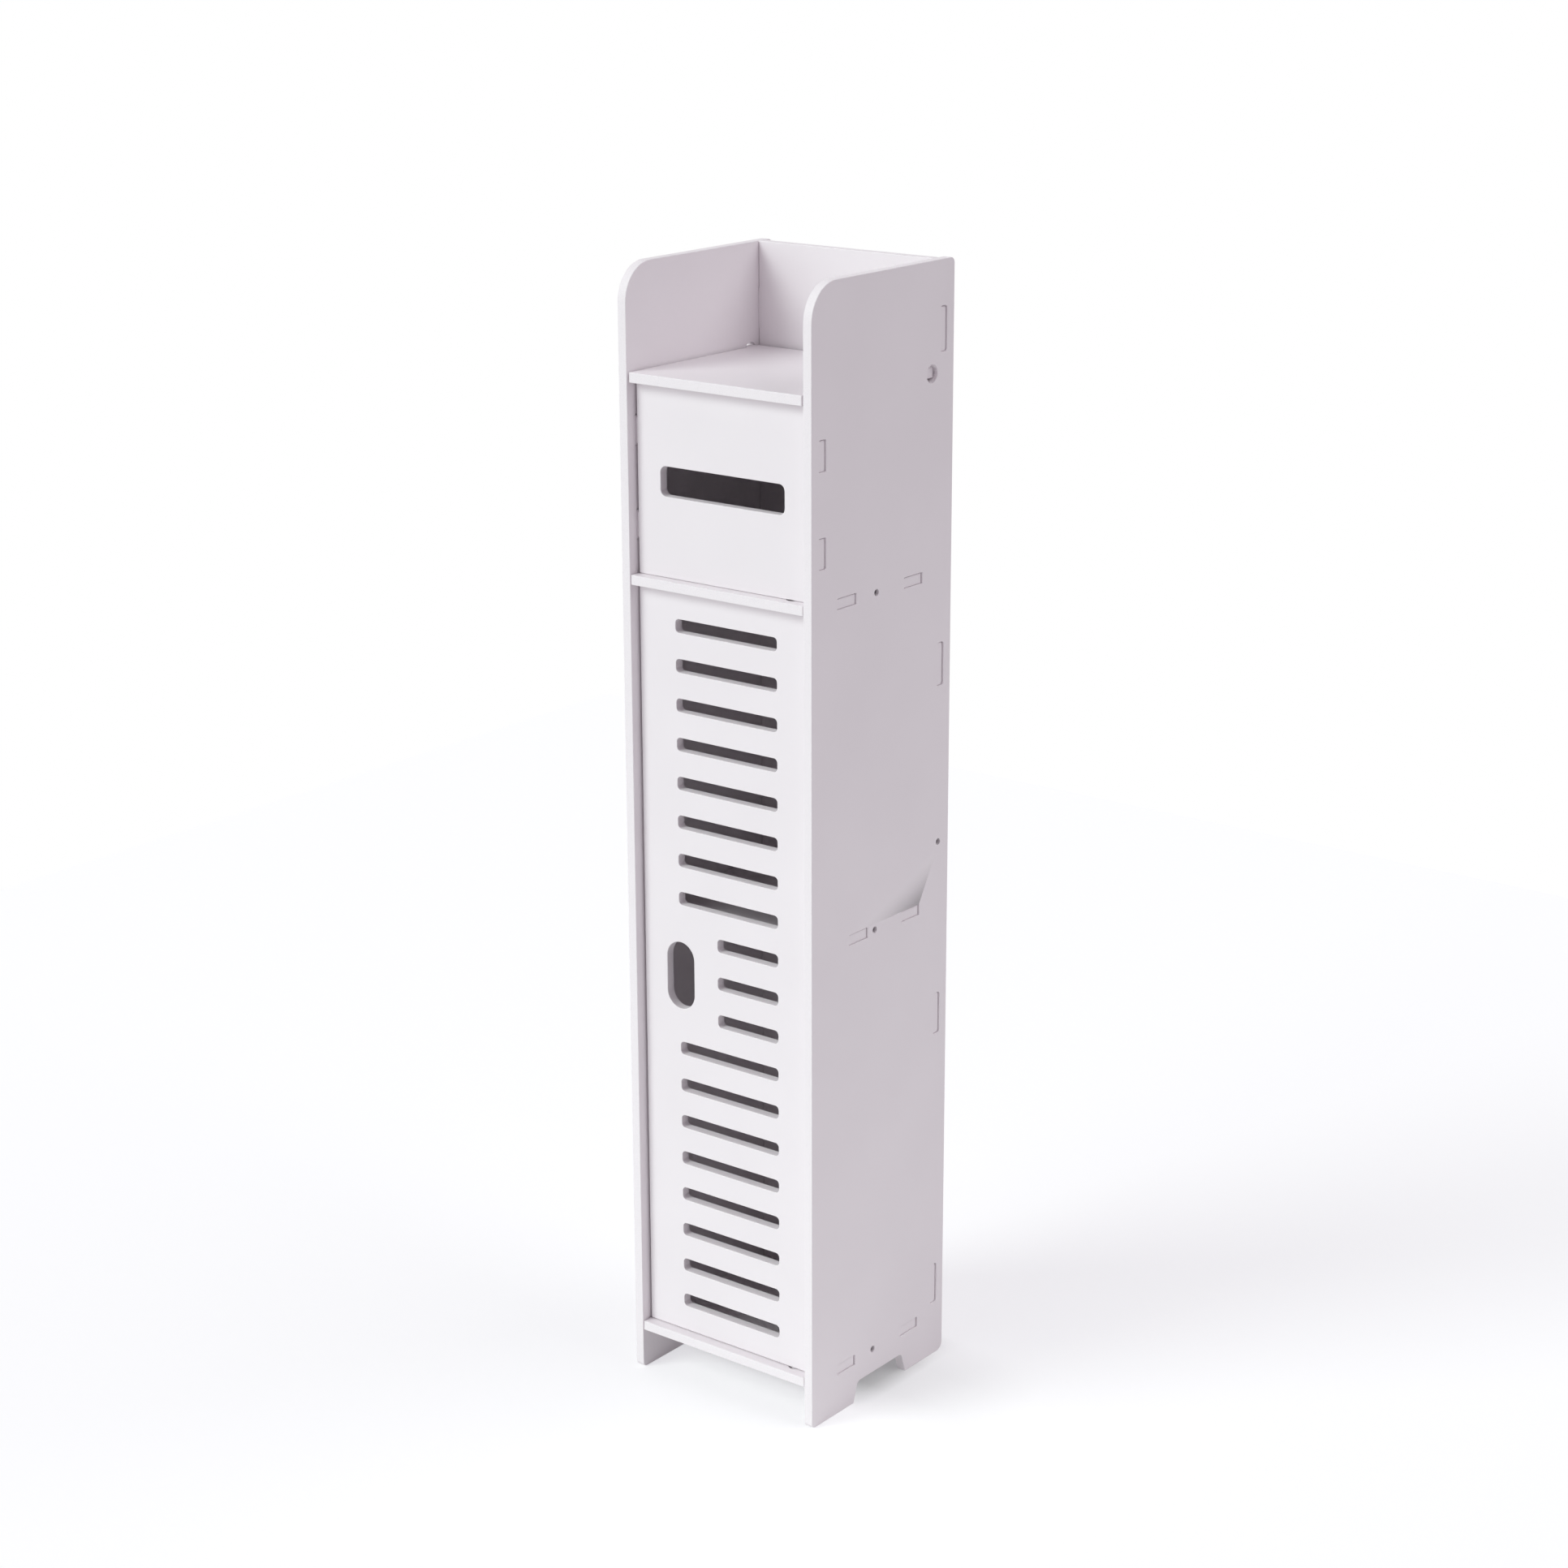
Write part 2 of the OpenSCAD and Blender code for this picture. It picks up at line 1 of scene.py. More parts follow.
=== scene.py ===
# %% [markdown]
# # A slim toilet roll cabinet of routed foam board
#
# The cabinet is slotted together from nine white boards, each 7 mm thick and cut out of a sheet with
# a router. Tabs on the ends of the boards sit in slots in the two side panels, eight dark screws hold
# them there, and a lid and a louvred door turn on tabs in round holes.
#
# The sizes and the places of the boards come from a fixed frame of plain solids. This lesson builds
# the boards again round that frame as finished surfaces with eased edges, turns the screws with their
# threads, dresses everything with materials worked out from noise, and lights it like a studio
# photograph. Lengths are written in millimetres and become metres when a mesh is made.

# %% Load the frame
import json
from collections import namedtuple

import bmesh
import bpy
import numpy as np
from mathutils import Matrix, Vector
from mathutils.geometry import tessellate_polygon


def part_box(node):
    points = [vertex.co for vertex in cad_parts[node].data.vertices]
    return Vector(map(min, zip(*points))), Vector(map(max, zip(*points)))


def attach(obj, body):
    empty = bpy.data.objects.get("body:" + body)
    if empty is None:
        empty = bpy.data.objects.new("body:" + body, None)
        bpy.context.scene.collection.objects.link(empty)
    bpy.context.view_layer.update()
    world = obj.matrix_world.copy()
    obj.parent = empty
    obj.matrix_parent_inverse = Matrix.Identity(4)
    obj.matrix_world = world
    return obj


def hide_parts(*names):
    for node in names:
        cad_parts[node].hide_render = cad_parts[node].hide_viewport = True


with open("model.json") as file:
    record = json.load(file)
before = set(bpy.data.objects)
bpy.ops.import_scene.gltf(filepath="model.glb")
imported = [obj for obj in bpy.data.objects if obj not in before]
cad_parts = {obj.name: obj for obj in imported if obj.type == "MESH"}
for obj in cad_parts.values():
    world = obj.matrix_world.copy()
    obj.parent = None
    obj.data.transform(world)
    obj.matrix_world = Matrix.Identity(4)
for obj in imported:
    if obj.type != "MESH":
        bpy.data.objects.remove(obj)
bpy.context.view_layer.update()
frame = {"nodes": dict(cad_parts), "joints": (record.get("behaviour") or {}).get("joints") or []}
MM = 0.001


def span(node):
    """The lowest and the highest corner of a frame node, in millimetres."""
    return [np.array(corner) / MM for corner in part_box(node)]


# %% [markdown]
# ## The camera
#
# The camera stands in front of the cabinet, to its right and a little above it. Its direction is
# written as an azimuth and an elevation, as for a telescope, because that is easier to read and to
# correct than a rotation. The three axes of the camera follow from them: backwards points from the
# target to the camera, right is level, and up is square to both. A small roll turns right and up.

# %% Camera
AZIMUTH = 37.90
ELEVATION = 17.04
ROLL = -0.19
DISTANCE = 2083.5
TARGET = (90.7, -121.3, 484.5)
LENS = 74.31


def look_from(azimuth, elevation):
    """The unit vector from the target towards a viewer. Azimuth 0 is straight in front."""
    a, e = np.radians([azimuth, elevation])
    return np.array([np.sin(a) * np.cos(e), -np.cos(a) * np.cos(e), np.sin(e)])


backwards = look_from(AZIMUTH, ELEVATION)
level = np.cross(-backwards, [0, 0, 1])
level /= np.linalg.norm(level)
upwards = np.cross(level, -backwards)
roll = np.radians(ROLL)
right = level * np.cos(roll) + upwards * np.sin(roll)
up = upwards * np.cos(roll) - level * np.sin(roll)

camera = bpy.data.objects.new("camera", bpy.data.cameras.new("camera"))
camera.data.lens = LENS
camera.data.clip_end = 100
place = np.eye(4)
place[:3, :3] = np.column_stack([right, up, backwards])
place[:3, 3] = (np.array(TARGET) + DISTANCE * backwards) * MM
camera.matrix_world = Matrix(place.tolist())
bpy.context.collection.objects.link(camera)
bpy.context.scene.camera = camera
print("camera at", np.round(place[:3, 3], 3), "m")

# %% [markdown]
# ## Outlines: straight runs joined by arcs
#
# A router leaves no sharp corner in a board: it follows straight runs and swings round each corner
# on an arc. So an outline is a list of corners with a radius for each, and one formula turns it into
# points. The same function also draws the slots, and a circle is a square whose corner radius is
# half its side. Each point keeps its outward normal, which the next step needs to ease the edge.

# %% Outline formula
CORNER_STEPS = 7
SMALL_HOLE_STEPS = 9
WIDE_STEPS = 13
ROUND_STEPS = 17
SAME_POINT = 1e-4


def outline(corners, radius, steps=CORNER_STEPS):
    """A closed loop through corners, each rounded to its radius, as points and outward normals.

    At a corner where the path turns by an angle t, the arc starts radius * tan(t / 2) before the
    corner. Its centre lies one radius to the inner side of the turn, and on it the normal turns
    evenly from that of the edge before to that of the edge after. Normals point to the right of the
    path, so a counter-clockwise loop bounds a board and a clockwise loop bounds a hole in it."""
    corners = np.asarray(corners, float)
    radius = np.broadcast_to(np.asarray(radius, float), len(corners))
    ahead = np.roll(corners, -1, 0) - corners
    ahead /= np.linalg.norm(ahead, axis=1, keepdims=True)
    behind = np.roll(ahead, 1, 0)
    turn = np.arctan2(behind[:, 0] * ahead[:, 1] - behind[:, 1] * ahead[:, 0],
                      (behind * ahead).sum(1))
    facing = np.stack([behind[:, 1], -behind[:, 0]], 1)
    reach = radius * np.tan(np.abs(turn) / 2)
    signed = radius * np.sign(turn)
    centre = corners - behind * reach[:, None] - facing * signed[:, None]
    angle = np.arctan2(facing[:, 1], facing[:, 0])[:, None] + turn[:, None] * np.linspace(0, 1, steps)
    normals = np.stack([np.cos(angle), np.sin(angle)], -1)
    points = centre[:, None] + normals * signed[:, None, None]
    points, normals = points.reshape(-1, 2), normals.reshape(-1, 2)
    apart = np.linalg.norm(points - np.roll(points, 1, 0), axis=1) > SAME_POINT
    return points[apart], normals[apart]


def rounded_rect(centre, size, radius, hole=False, steps=CORNER_STEPS):
    """The loop of a rectangle with round corners: clockwise if it is a hole."""
    half = np.array(size) / 2
    corners = np.array(centre) + half * np.array([[-1, -1], [1, -1], [1, 1], [-1, 1]])
    return outline(corners[::-1] if hole else corners, radius, steps)


def round_hole(centre, diameter, steps):
    """The loop of a round hole: a square whose corner radius is half its side."""
    return rounded_rect(centre, (diameter, diameter), diameter / 2, hole=True, steps=steps)


print("points round a rectangle:", len(rounded_rect((0, 0), (2, 1), 0.1)[0]))

# %% [markdown]
# ## Edge profiles: what a sanded arris looks like
#
# No real edge is a perfect corner, and the thin bright line that runs along an edge in a photograph
# is the light caught by its small rounding. A Bevel modifier could add it, but it stumbles over the
# short segments of the arcs. Here the edge is a profile instead: pairs of an inset from the outline
# and a height above the lower face, carried round the loop. A screw's counterbore is only a longer
# profile.
#
# Smooth shading needs a normal at each profile point. Where two stretches meet at a blunt angle they
# share their mean, weighted by length, so that the long flats stay flat and only the small rounding
# bends. Where they meet sharply each keeps its own.

# %% Profiles and their normals
ARRIS_STEPS = 4
SHARP_ANGLE = 35
FLAT_WEIGHT = 1e6


def eased(radius, thickness):
    """A board's edge from its upper to its lower face: a quarter round, the flat and a quarter round.

    On the first rounding, at an angle a from the face, the inset is radius * (1 - sin a) and the
    height is thickness - radius * (1 - cos a). The second is its mirror image."""
    a = np.linspace(0, np.pi / 2, ARRIS_STEPS + 1)
    drop = radius * (1 - np.cos(a))
    inset = radius * (1 - np.sin(a))
    upper = np.stack([inset, thickness - drop], 1)
    lower = np.stack([inset, drop], 1)[::-1]
    return np.vstack([upper, lower])


def counterbored(bore, head, depth, radius, thickness):
    """The wall of a screw hole that widens from bore to head near the upper face, as a profile.

    The bore is the loop itself, so the wider part is inset by half the difference."""
    step = (head - bore) / 2
    upper = eased(radius, thickness)[:ARRIS_STEPS + 1] + [step, 0]
    lower = eased(radius, thickness)[ARRIS_STEPS + 1:]
    shoulder = [[step, thickness - depth], [0, thickness - depth]]
    return np.vstack([upper, shoulder, lower])


def profile_normals(profile):
    """The normal of each stretch of a profile at its start and at its end, as (outward, up).

    A stretch that runs (out, up) faces (-up, out). The flat faces at both ends of the profile count
    as very long stretches, so the rounding runs into them without a crease."""
    step = np.diff(profile * [-1, 1], axis=0)
    length = np.linalg.norm(step, axis=1)
    facing = np.stack([-step[:, 1], step[:, 0]], 1) / length[:, None]
    facing = np.vstack([[0, 1], facing, [0, -1]])
    weight = np.concatenate([[FLAT_WEIGHT], length, [FLAT_WEIGHT]])[:, None]
    mean = facing[:-1] * weight[:-1] + facing[1:] * weight[1:]
    mean /= np.linalg.norm(mean, axis=1, keepdims=True)
    blunt = (facing[:-1] * facing[1:]).sum(1, keepdims=True) > np.cos(np.radians(SHARP_ANGLE))
    start = np.where(blunt[:-1], mean[:-1], facing[1:-1])
    end = np.where(blunt[1:], mean[1:], facing[1:-1])
    return start, end


print("edge profile of a board, first points:", np.round(eased(0.6, 7)[:3], 3).tolist())

# %% [markdown]
# ## A routed slab: walls carried round the loops, and two flat faces
#
# A board is now a set of loops with a profile each: its outline, and every hole in it. Carrying the
# profile round a loop gives a grid of quads, and the two flat faces are filled between the first
# rings and between the last rings. The faces share the rings' points, so the shell is closed.
#
# Each corner of each face carries its exact normal and a place on the surface, and each point a value
# called cut: 0 on the smooth skin of the sheet and 1 where the router laid the foam open. The
# material uses both later.

# %% Slab
FILL_TOLERANCE = 1e-3
Shell = namedtuple("Shell", "points cut groups")


def wall(loop, profile):
    """A profile carried round a closed loop, as a grid of quads.

    Grid point (j, i) is loop point i, moved against its outward normal by the inset of profile point
    j, at that point's height. Its normal is outward times the loop's normal plus up times the axis.
    The place on the surface is the length along the loop and the length down the profile."""
    points, normals = loop
    rows, columns = len(profile), len(points)
    flat = points - profile[:, :1, None] * normals
    position = np.dstack([flat, np.broadcast_to(profile[:, 1:], (rows, columns))]).reshape(-1, 3)
    grid = np.arange(rows * columns).reshape(rows, columns)
    after = np.roll(grid, -1, 1)
    quads = np.stack([grid[:-1], grid[1:], after[1:], after[:-1]], -1).reshape(-1, 4)

    start, end = profile_normals(profile)
    tilt = np.stack([start, end, end, start], 1)[:, None]
    side = np.stack([normals, normals, np.roll(normals, -1, 0), np.roll(normals, -1, 0)], 1)[None]
    up_part = np.broadcast_to(tilt[..., 1:], (rows - 1, columns, 4, 1))
    corner_normals = np.concatenate([tilt[..., :1] * side, up_part], -1).reshape(-1, 4, 3)

    run = np.linalg.norm(np.roll(points, -1, 0) - points, axis=1)
    along = np.concatenate([[0], np.cumsum(run)])
    down = np.concatenate([[0], np.cumsum(np.linalg.norm(np.diff(profile, axis=0), axis=1))])
    u = np.stack([along[:-1], along[:-1], along[1:], along[1:]], 1)[None]
    v = np.stack([down[:-1], down[1:], down[1:], down[:-1]], 1)[:, None]
    shape = (rows - 1, columns, 4)
    place = np.stack([np.broadcast_to(u, shape), np.broadcast_to(v, shape)], -1).reshape(-1, 4, 2)
    return position, (quads, corner_normals, place)


def shoelace(points):
    """The signed area of a closed loop: half the sum of the cross products of its neighbours."""
    after = np.roll(points, -1, 0)
    return (points[:, 0] * after[:, 1] - points[:, 1] * after[:, 0]).sum() / 2


def face(rings, indices, height_sign):
    """The flat face between an outer ring and the rings of its holes, as triangles."""
    flat = np.vstack(rings)
    triangles = np.array(tessellate_polygon([ring.tolist() for ring in rings]))
    a, b, c = flat[triangles].transpose(1, 0, 2)
    area = ((b - a)[:, 0] * (c - a)[:, 1] - (b - a)[:, 1] * (c - a)[:, 0]) / 2
    wanted = sum(shoelace(ring) for ring in rings)
    assert abs(np.abs(area).sum() - wanted) < FILL_TOLERANCE * wanted, "the face isn't filled exactly"
    backwards_facing = area * height_sign < 0
    triangles[backwards_facing] = triangles[backwards_facing][:, ::-1]
    normals = np.broadcast_to([0.0, 0.0, height_sign], (len(triangles), 3, 3))
    return indices[triangles], normals, flat[triangles]


def slab(loops, thickness):
    """A flat board: loops is a list of (loop, profile), the outline first and then its holes."""
    position, groups, tops, bottoms, top_indices, bottom_indices, cut = [], [], [], [], [], [], []
    start = 0
    for loop, profile in loops:
        points, (quads, normals, place) = wall(loop, profile)
        groups.append((quads + start, normals, place * MM))
        columns = len(loop[0])
        position.append(points)
        tops.append(points[:columns, :2])
        bottoms.append(points[-columns:, :2])
        top_indices.append(start + np.arange(columns))
        bottom_indices.append(start + len(points) - columns + np.arange(columns))
        opened = np.ones(len(points))
        opened[:columns] = opened[-columns:] = 0
        cut.append(opened)
        start += len(points)
    for rings, indices, sign in ((tops, top_indices, 1), (bottoms, bottom_indices, -1)):
        triangles, normals, place = face(rings, np.concatenate(indices), sign)
        groups.append((triangles, normals, place * MM))
    return Shell(np.vstack(position), np.concatenate(cut), groups)


# %% [markdown]
# ## Placing the shells and joining them into a board
#
# A slab is drawn flat, with its own two directions and its thickness. Three planes are enough for
# the cabinet: flat for shelves and lid, upright for the panels and the door, which rise towards the
# front, and side for the side panels, which rise to the right. The left side is the mirror image. A
# mirror turns a surface inside out, so there each face is also walked the other way round.
#
# The finished board takes the place of its frame node and rides on the same body, so it will follow
# the hinge that moves that body.

# %% Placing and joining
PLANES = {
    "flat": [[1, 0, 0], [0, 1, 0], [0, 0, 1]],
    "upright": [[1, 0, 0], [0, 0, 1], [0, -1, 0]],
    "side": [[0, 1, 0], [0, 0, 1], [1, 0, 0]],
}


def placed(shell, plane, offset):
    """A shell turned into one of the three planes and moved along the plane's own thickness axis."""
    turn = np.array(PLANES[plane], float)
    groups = [(corners, normals @ turn, place) for corners, normals, place in shell.groups]
    return Shell(shell.points @ turn + offset * np.abs(turn[2]), shell.cut, groups)


def mirrored(shell):
    """The same shell on the other side of the cabinet."""
    flip = np.array([-1, 1, 1])
    groups = [(corners[:, ::-1], normals[:, ::-1] * flip, place[:, ::-1])
              for corners, normals, place in shell.groups]
    return Shell(shell.points * flip, shell.cut, groups)


def stand_in(piece, nodes, body):
    """Links a finished object, in place of frame nodes and riding on their body."""
    bpy.context.collection.objects.link(piece)
    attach(piece, body)
    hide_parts(*nodes)
    return piece


def board_piece(name, node, body, shells):
    """Joins shells into one board with its normals, its surface map and its cut values."""
    starts = np.cumsum([0] + [len(shell.points) for shell in shells])
    groups = [(corners + start, normals, place)
              for start, shell in zip(starts, shells) for corners, normals, place in shell.groups]
    mesh = bpy.data.meshes.new(name)
    points = np.vstack([shell.points for shell in shells]) * MM
    faces = [corners for group in groups for corners in group[0].tolist()]
    mesh.from_pydata(points.tolist(), [], faces, shade_flat=False)
    place = np.vstack([group[2].reshape(-1, 2) for group in groups])
    mesh.uv_layers.new(name="surface").data.foreach_set("uv", place.ravel())
    cut = np.concatenate([shell.cut for shell in shells])
    mesh.attributes.new("cut", "FLOAT", "POINT").data.foreach_set("value", cut)
    normals = np.vstack([group[1].reshape(-1, 3) for group in groups])
    # Two of a side board's normals come back wrong, at y 44.1 and z 354.9, and a dark smear shows there.
    mesh.normals_split_custom_set(normals.tolist())
    print(f"{name}: {len(shells)} shells, {len(faces)} faces")
    return stand_in(bpy.data.objects.new(name, mesh), [node], body)


# %% [markdown]
# ## Sizes that all the boards share
#
# The boxes of the frame nodes give the faces of the boards. What a box can't tell, such as a corner's
# radius or the gap at a board's end, is named here once. Each tab is a short slab of its own, whose
# root runs a millimetre into its board.

# %% Shared sizes
ARRIS = 0.55
SLOT_ARRIS = 0.22
TAB_ARRIS = 0.4
BOARD_CORNER = 0.9
TAB_ROOT = 1.0
SEAT_GAP = 0.2
PIVOT_GAP = 0.2
NECK_INSET = 1.2

side_low, side_high = span("side_panel_right")
inner_x, outer_x = side_low[0], side_high[0]
board = outer_x - inner_x
front_y, rear_y, height = side_low[1], side_high[1], side_high[2]
shelf_x = inner_x - SEAT_GAP
back_low, back_high = span("back_panel")
back_mid_y = (back_low[1] + back_high[1]) / 2
front_low, front_high = span("front_panel")
panel_mid_y = (front_low[1] + front_high[1]) / 2
joints = {joint["name"]: np.array(joint["pos_m"]) / MM for joint in frame["joints"]}
print("board", round(board, 2), "mm, inner faces at +-", round(inner_x, 2), "mm")


def side_tab(y, z, size, radius, end_x, board_end=shelf_x):
    """A tab on the right end of a board, with its middle at y and z, and its mirror image."""
    length = end_x - board_end + TAB_ROOT
    loop = rounded_rect((y, z), size, radius)
    tab = placed(slab([(loop, eased(TAB_ARRIS, length))], length), "side", end_x - length)
    return [tab, mirrored(tab)]


# %% [markdown]
# ## The tabs of every board
#
# One table of tabs serves both sides of each joint: the boards grow their tabs from it, and the side
# panels take their slots from it, so they can't drift apart. The heights and the middles of the
# shelves' tabs are measured from the front edges of the side panels and from the back panel, because
# that is how the real boards line up.

# %% Tab table
SHELF_TAB = (20.4, board)
SHELF_TAB_RADIUS = 0.5
FRONT_TAB = (board, 20.4)
FRONT_TAB_RADIUS = 1.2
FRONT_TAB_SPACING = 64.2
BACK_TAB = (board, 30.0)
BACK_TAB_RADIUS = 2.0
BACK_TAB_BOTTOM = 26.3
BACK_TAB_TOP = 46.7
BACK_TAB_SPACING = 256.0
TAB_FROM_FRONT = {"upper_shelf": 38.0, "middle_shelf": 52.2, "bottom_shelf": 39.4}
TAB_FROM_BACK = {"upper_shelf": 29.0, "middle_shelf": 29.0, "bottom_shelf": 26.9}

Tab = namedtuple("Tab", "y z size radius")
tabs = {}
for node, from_front in TAB_FROM_FRONT.items():
    low, high = span(node)
    middle = (low[2] + high[2]) / 2
    tabs[node] = [Tab(y, middle, SHELF_TAB, SHELF_TAB_RADIUS)
                  for y in (front_y + from_front, back_low[1] - TAB_FROM_BACK[node])]

front_mid_z = (front_low[2] + front_high[2]) / 2
tabs["front_panel"] = [Tab(panel_mid_y, z, FRONT_TAB, FRONT_TAB_RADIUS)
                       for z in (front_mid_z - FRONT_TAB_SPACING / 2, front_mid_z + FRONT_TAB_SPACING / 2)]

back_screw_z = sum(corner[2] for corner in span("back_screw_right")) / 2
back_heights = (back_low[2] + BACK_TAB_BOTTOM, back_screw_z - BACK_TAB_SPACING / 2,
                back_screw_z + BACK_TAB_SPACING / 2, back_high[2] - BACK_TAB_TOP)
tabs["back_panel"] = [Tab(back_mid_y, z, BACK_TAB, BACK_TAB_RADIUS) for z in back_heights]
print("tabs on each side:", {node: len(row) for node, row in tabs.items()})

# %% [markdown]
# ## The side panels
#
# Each side panel is one tall board. The top front corner has a large radius, the other three small
# ones, and a notch with leaning sides leaves two feet. Through it go twelve slots for tabs, the round
# hole that the lid's pivot tab turns in, and four counterbored screw holes.
#
# A slot is a little larger than its tab, or the cabinet couldn't be put together. The boards' weight
# and the screws draw each tab down and forwards, so the play shows as a fine dark line above the tab
# and behind it, and as a hairline on the other two sides.

# %% Side panels
TOP_FRONT_RADIUS = 26.0
TOP_REAR_RADIUS = 4.0
BOTTOM_FRONT_RADIUS = 4.0
BOTTOM_REAR_RADIUS = 6.0
FRONT_FOOT = 48.6
REAR_FOOT = 46.1
NOTCH_HEIGHT = 15.3
NOTCH_LEAN = 18.0
NOTCH_RADIUS = 4.0
FOOT_RADIUS = 0.8
LID_TAB = (10.0, board)
PLAY_ABOVE = 0.65
PLAY_BEHIND = 0.4
PLAY_SEATED = 0.16
SCREW_BORE = 3.1
SCREW_HEAD_BORE = 4.8
HEAD_HEIGHT = 1.6

lean = NOTCH_HEIGHT * np.tan(np.radians(NOTCH_LEAN))
side_corners = [
    (front_y, 0, BOTTOM_FRONT_RADIUS),
    (front_y + FRONT_FOOT, 0, FOOT_RADIUS),
    (front_y + FRONT_FOOT + lean, NOTCH_HEIGHT, NOTCH_RADIUS),
    (rear_y - REAR_FOOT - lean, NOTCH_HEIGHT, NOTCH_RADIUS),
    (rear_y - REAR_FOOT, 0, FOOT_RADIUS),
    (rear_y, 0, BOTTOM_REAR_RADIUS),
    (rear_y, height, TOP_REAR_RADIUS),
    (front_y, height, TOP_FRONT_RADIUS),
]
side_corners = np.array(side_corners)
side_loop = outline(side_corners[:, :2], side_corners[:, 2], steps=WIDE_STEPS)

play = np.array([PLAY_BEHIND, PLAY_ABOVE])
side_loops = [(side_loop, eased(ARRIS, board))]
for tab in sum(tabs.values(), []):
    middle = np.array([tab.y, tab.z]) + (play - PLAY_SEATED) / 2
    hole = rounded_rect(middle, np.array(tab.size) + play + PLAY_SEATED, tab.radius, hole=True)
    side_loops.append((hole, eased(SLOT_ARRIS, board)))

lid_pivot = joints["lid_hinge"]
lid_hole = np.hypot(*LID_TAB) + 2 * PIVOT_GAP
side_loops.append((round_hole(lid_pivot[1:], lid_hole, ROUND_STEPS), eased(SLOT_ARRIS, board)))

screw_names = ["upper", "middle", "bottom", "back"]
for row in screw_names:
    low, high = span(f"{row}_screw_right")
    depth = outer_x - high[0] + HEAD_HEIGHT
    bore = round_hole((low + high)[1:] / 2, SCREW_BORE, SMALL_HOLE_STEPS)
    side_loops.append((bore, counterbored(SCREW_BORE, SCREW_HEAD_BORE, depth, SLOT_ARRIS, board)))

right_side = placed(slab(side_loops, board), "side", inner_x)
boards = [
    board_piece("right_side_board", "side_panel_right", "cabinet", [right_side]),
    board_piece("left_side_board", "side_panel_left", "cabinet", [mirrored(right_side)]),
]

# %% [markdown]
# ## The shelves
#
# A shelf is a plain rectangle with two tabs on each end. It sits hard against the left panel, and a
# hair's gap is left at its right end. The upper and the bottom shelf also have a round hole near the
# front right corner, in which the door's pivot tabs turn.

# %% Shelves
DOOR_TAB = (4.3, board)
DOOR_HOLE_GAP = 0.55
SHELF_SHIFT = 0.4

door_pivot = joints["door_hinge"]
door_hole = np.hypot(*DOOR_TAB) + 2 * DOOR_HOLE_GAP


def rectangle(low_x, high_x, low_y, high_y):
    """The outline of a plain board between four lines, with the corners just broken."""
    centre = ((low_x + high_x) / 2, (low_y + high_y) / 2)
    return rounded_rect(centre, (high_x - low_x, high_y - low_y), BOARD_CORNER)


for node, shelf_tabs in tabs.items():
    if not node.endswith("shelf"):
        continue
    low, high = span(node)
    loops = [(rectangle(-shelf_x, shelf_x - SHELF_SHIFT, low[1], high[1]), eased(ARRIS, board))]
    if node != "middle_shelf":
        loops.append((round_hole(door_pivot[:2], door_hole, WIDE_STEPS), eased(SLOT_ARRIS, board)))
    shells = [placed(slab(loops, board), "flat", low[2])]
    for tab in shelf_tabs:
        shells += side_tab(*tab, high[0])
    boards.append(board_piece(f"{node}_board", node, "cabinet", shells))

# %% [markdown]
# ## The back panel, the front panel and the lid
#
# All three are rectangles with tabs. The front panel has a wide slot with round corners, through
# which a roll feeds. Its tabs have a thinner neck in the gap beside the panel, so the gap stays one
# dark line. The lid has a single narrow tab on each end: these sit in the round holes of the side
# panels, and the lid turns on them.

# %% Back panel, front panel and lid
FRONT_SIDE_GAP = 1.5
PAPER_SLOT = (104.4, 20.4)
PAPER_SLOT_RADIUS = 4.5
PAPER_SILL = 55.6
LID_SIDE_GAP = 1.4

back_loops = [(rectangle(-shelf_x, shelf_x, back_low[2], back_high[2]), eased(ARRIS, board))]
back_shells = [placed(slab(back_loops, board), "upright", back_high[1])]
for tab in tabs["back_panel"]:
    back_shells += side_tab(*tab, back_high[0])
boards.append(board_piece("back_panel_board", "back_panel", "cabinet", back_shells))

front_x = inner_x - FRONT_SIDE_GAP
slot_z = span("upper_shelf")[1][2] + PAPER_SILL + PAPER_SLOT[1] / 2
front_loops = [
    (rectangle(-front_x, front_x, front_low[2], front_high[2]), eased(ARRIS, board)),
    (rounded_rect((0, slot_z), PAPER_SLOT, PAPER_SLOT_RADIUS, hole=True, steps=WIDE_STEPS),
     eased(ARRIS, board)),
]
front_shells = [placed(slab(front_loops, board), "upright", front_high[1])]
for tab in tabs["front_panel"]:
    front_shells += side_tab(*tab, front_high[0], inner_x + TAB_ROOT)
    neck = np.array(tab.size) - 2 * NECK_INSET
    front_shells += side_tab(tab.y, tab.z, neck, tab.radius, inner_x + TAB_ROOT, front_x)
boards.append(board_piece("front_panel_board", "front_panel", "cabinet", front_shells))

lid_low, lid_high = span("lid")
lid_x = inner_x - LID_SIDE_GAP
lid_loops = [(rectangle(-lid_x, lid_x, lid_low[1], lid_high[1]), eased(ARRIS, board))]
lid_shells = [placed(slab(lid_loops, board), "flat", lid_low[2])]
lid_shells += side_tab(lid_pivot[1], lid_pivot[2], LID_TAB, SHELF_TAB_RADIUS, lid_high[0], lid_x)
boards.append(board_piece("lid_board", "lid", "lid", lid_shells))

# %% [markdown]
# ## The door
#
# The door is a tall board with nineteen louvre slots, routed straight through, and an oblong finger
# hole near its free edge. The louvres beside the finger hole are shorter, so that a web of board is
# left round it. Their places follow from one spacing, so a short loop writes them all. Two pivot tabs
# stand on the door's ends, over and under its hinge edge.

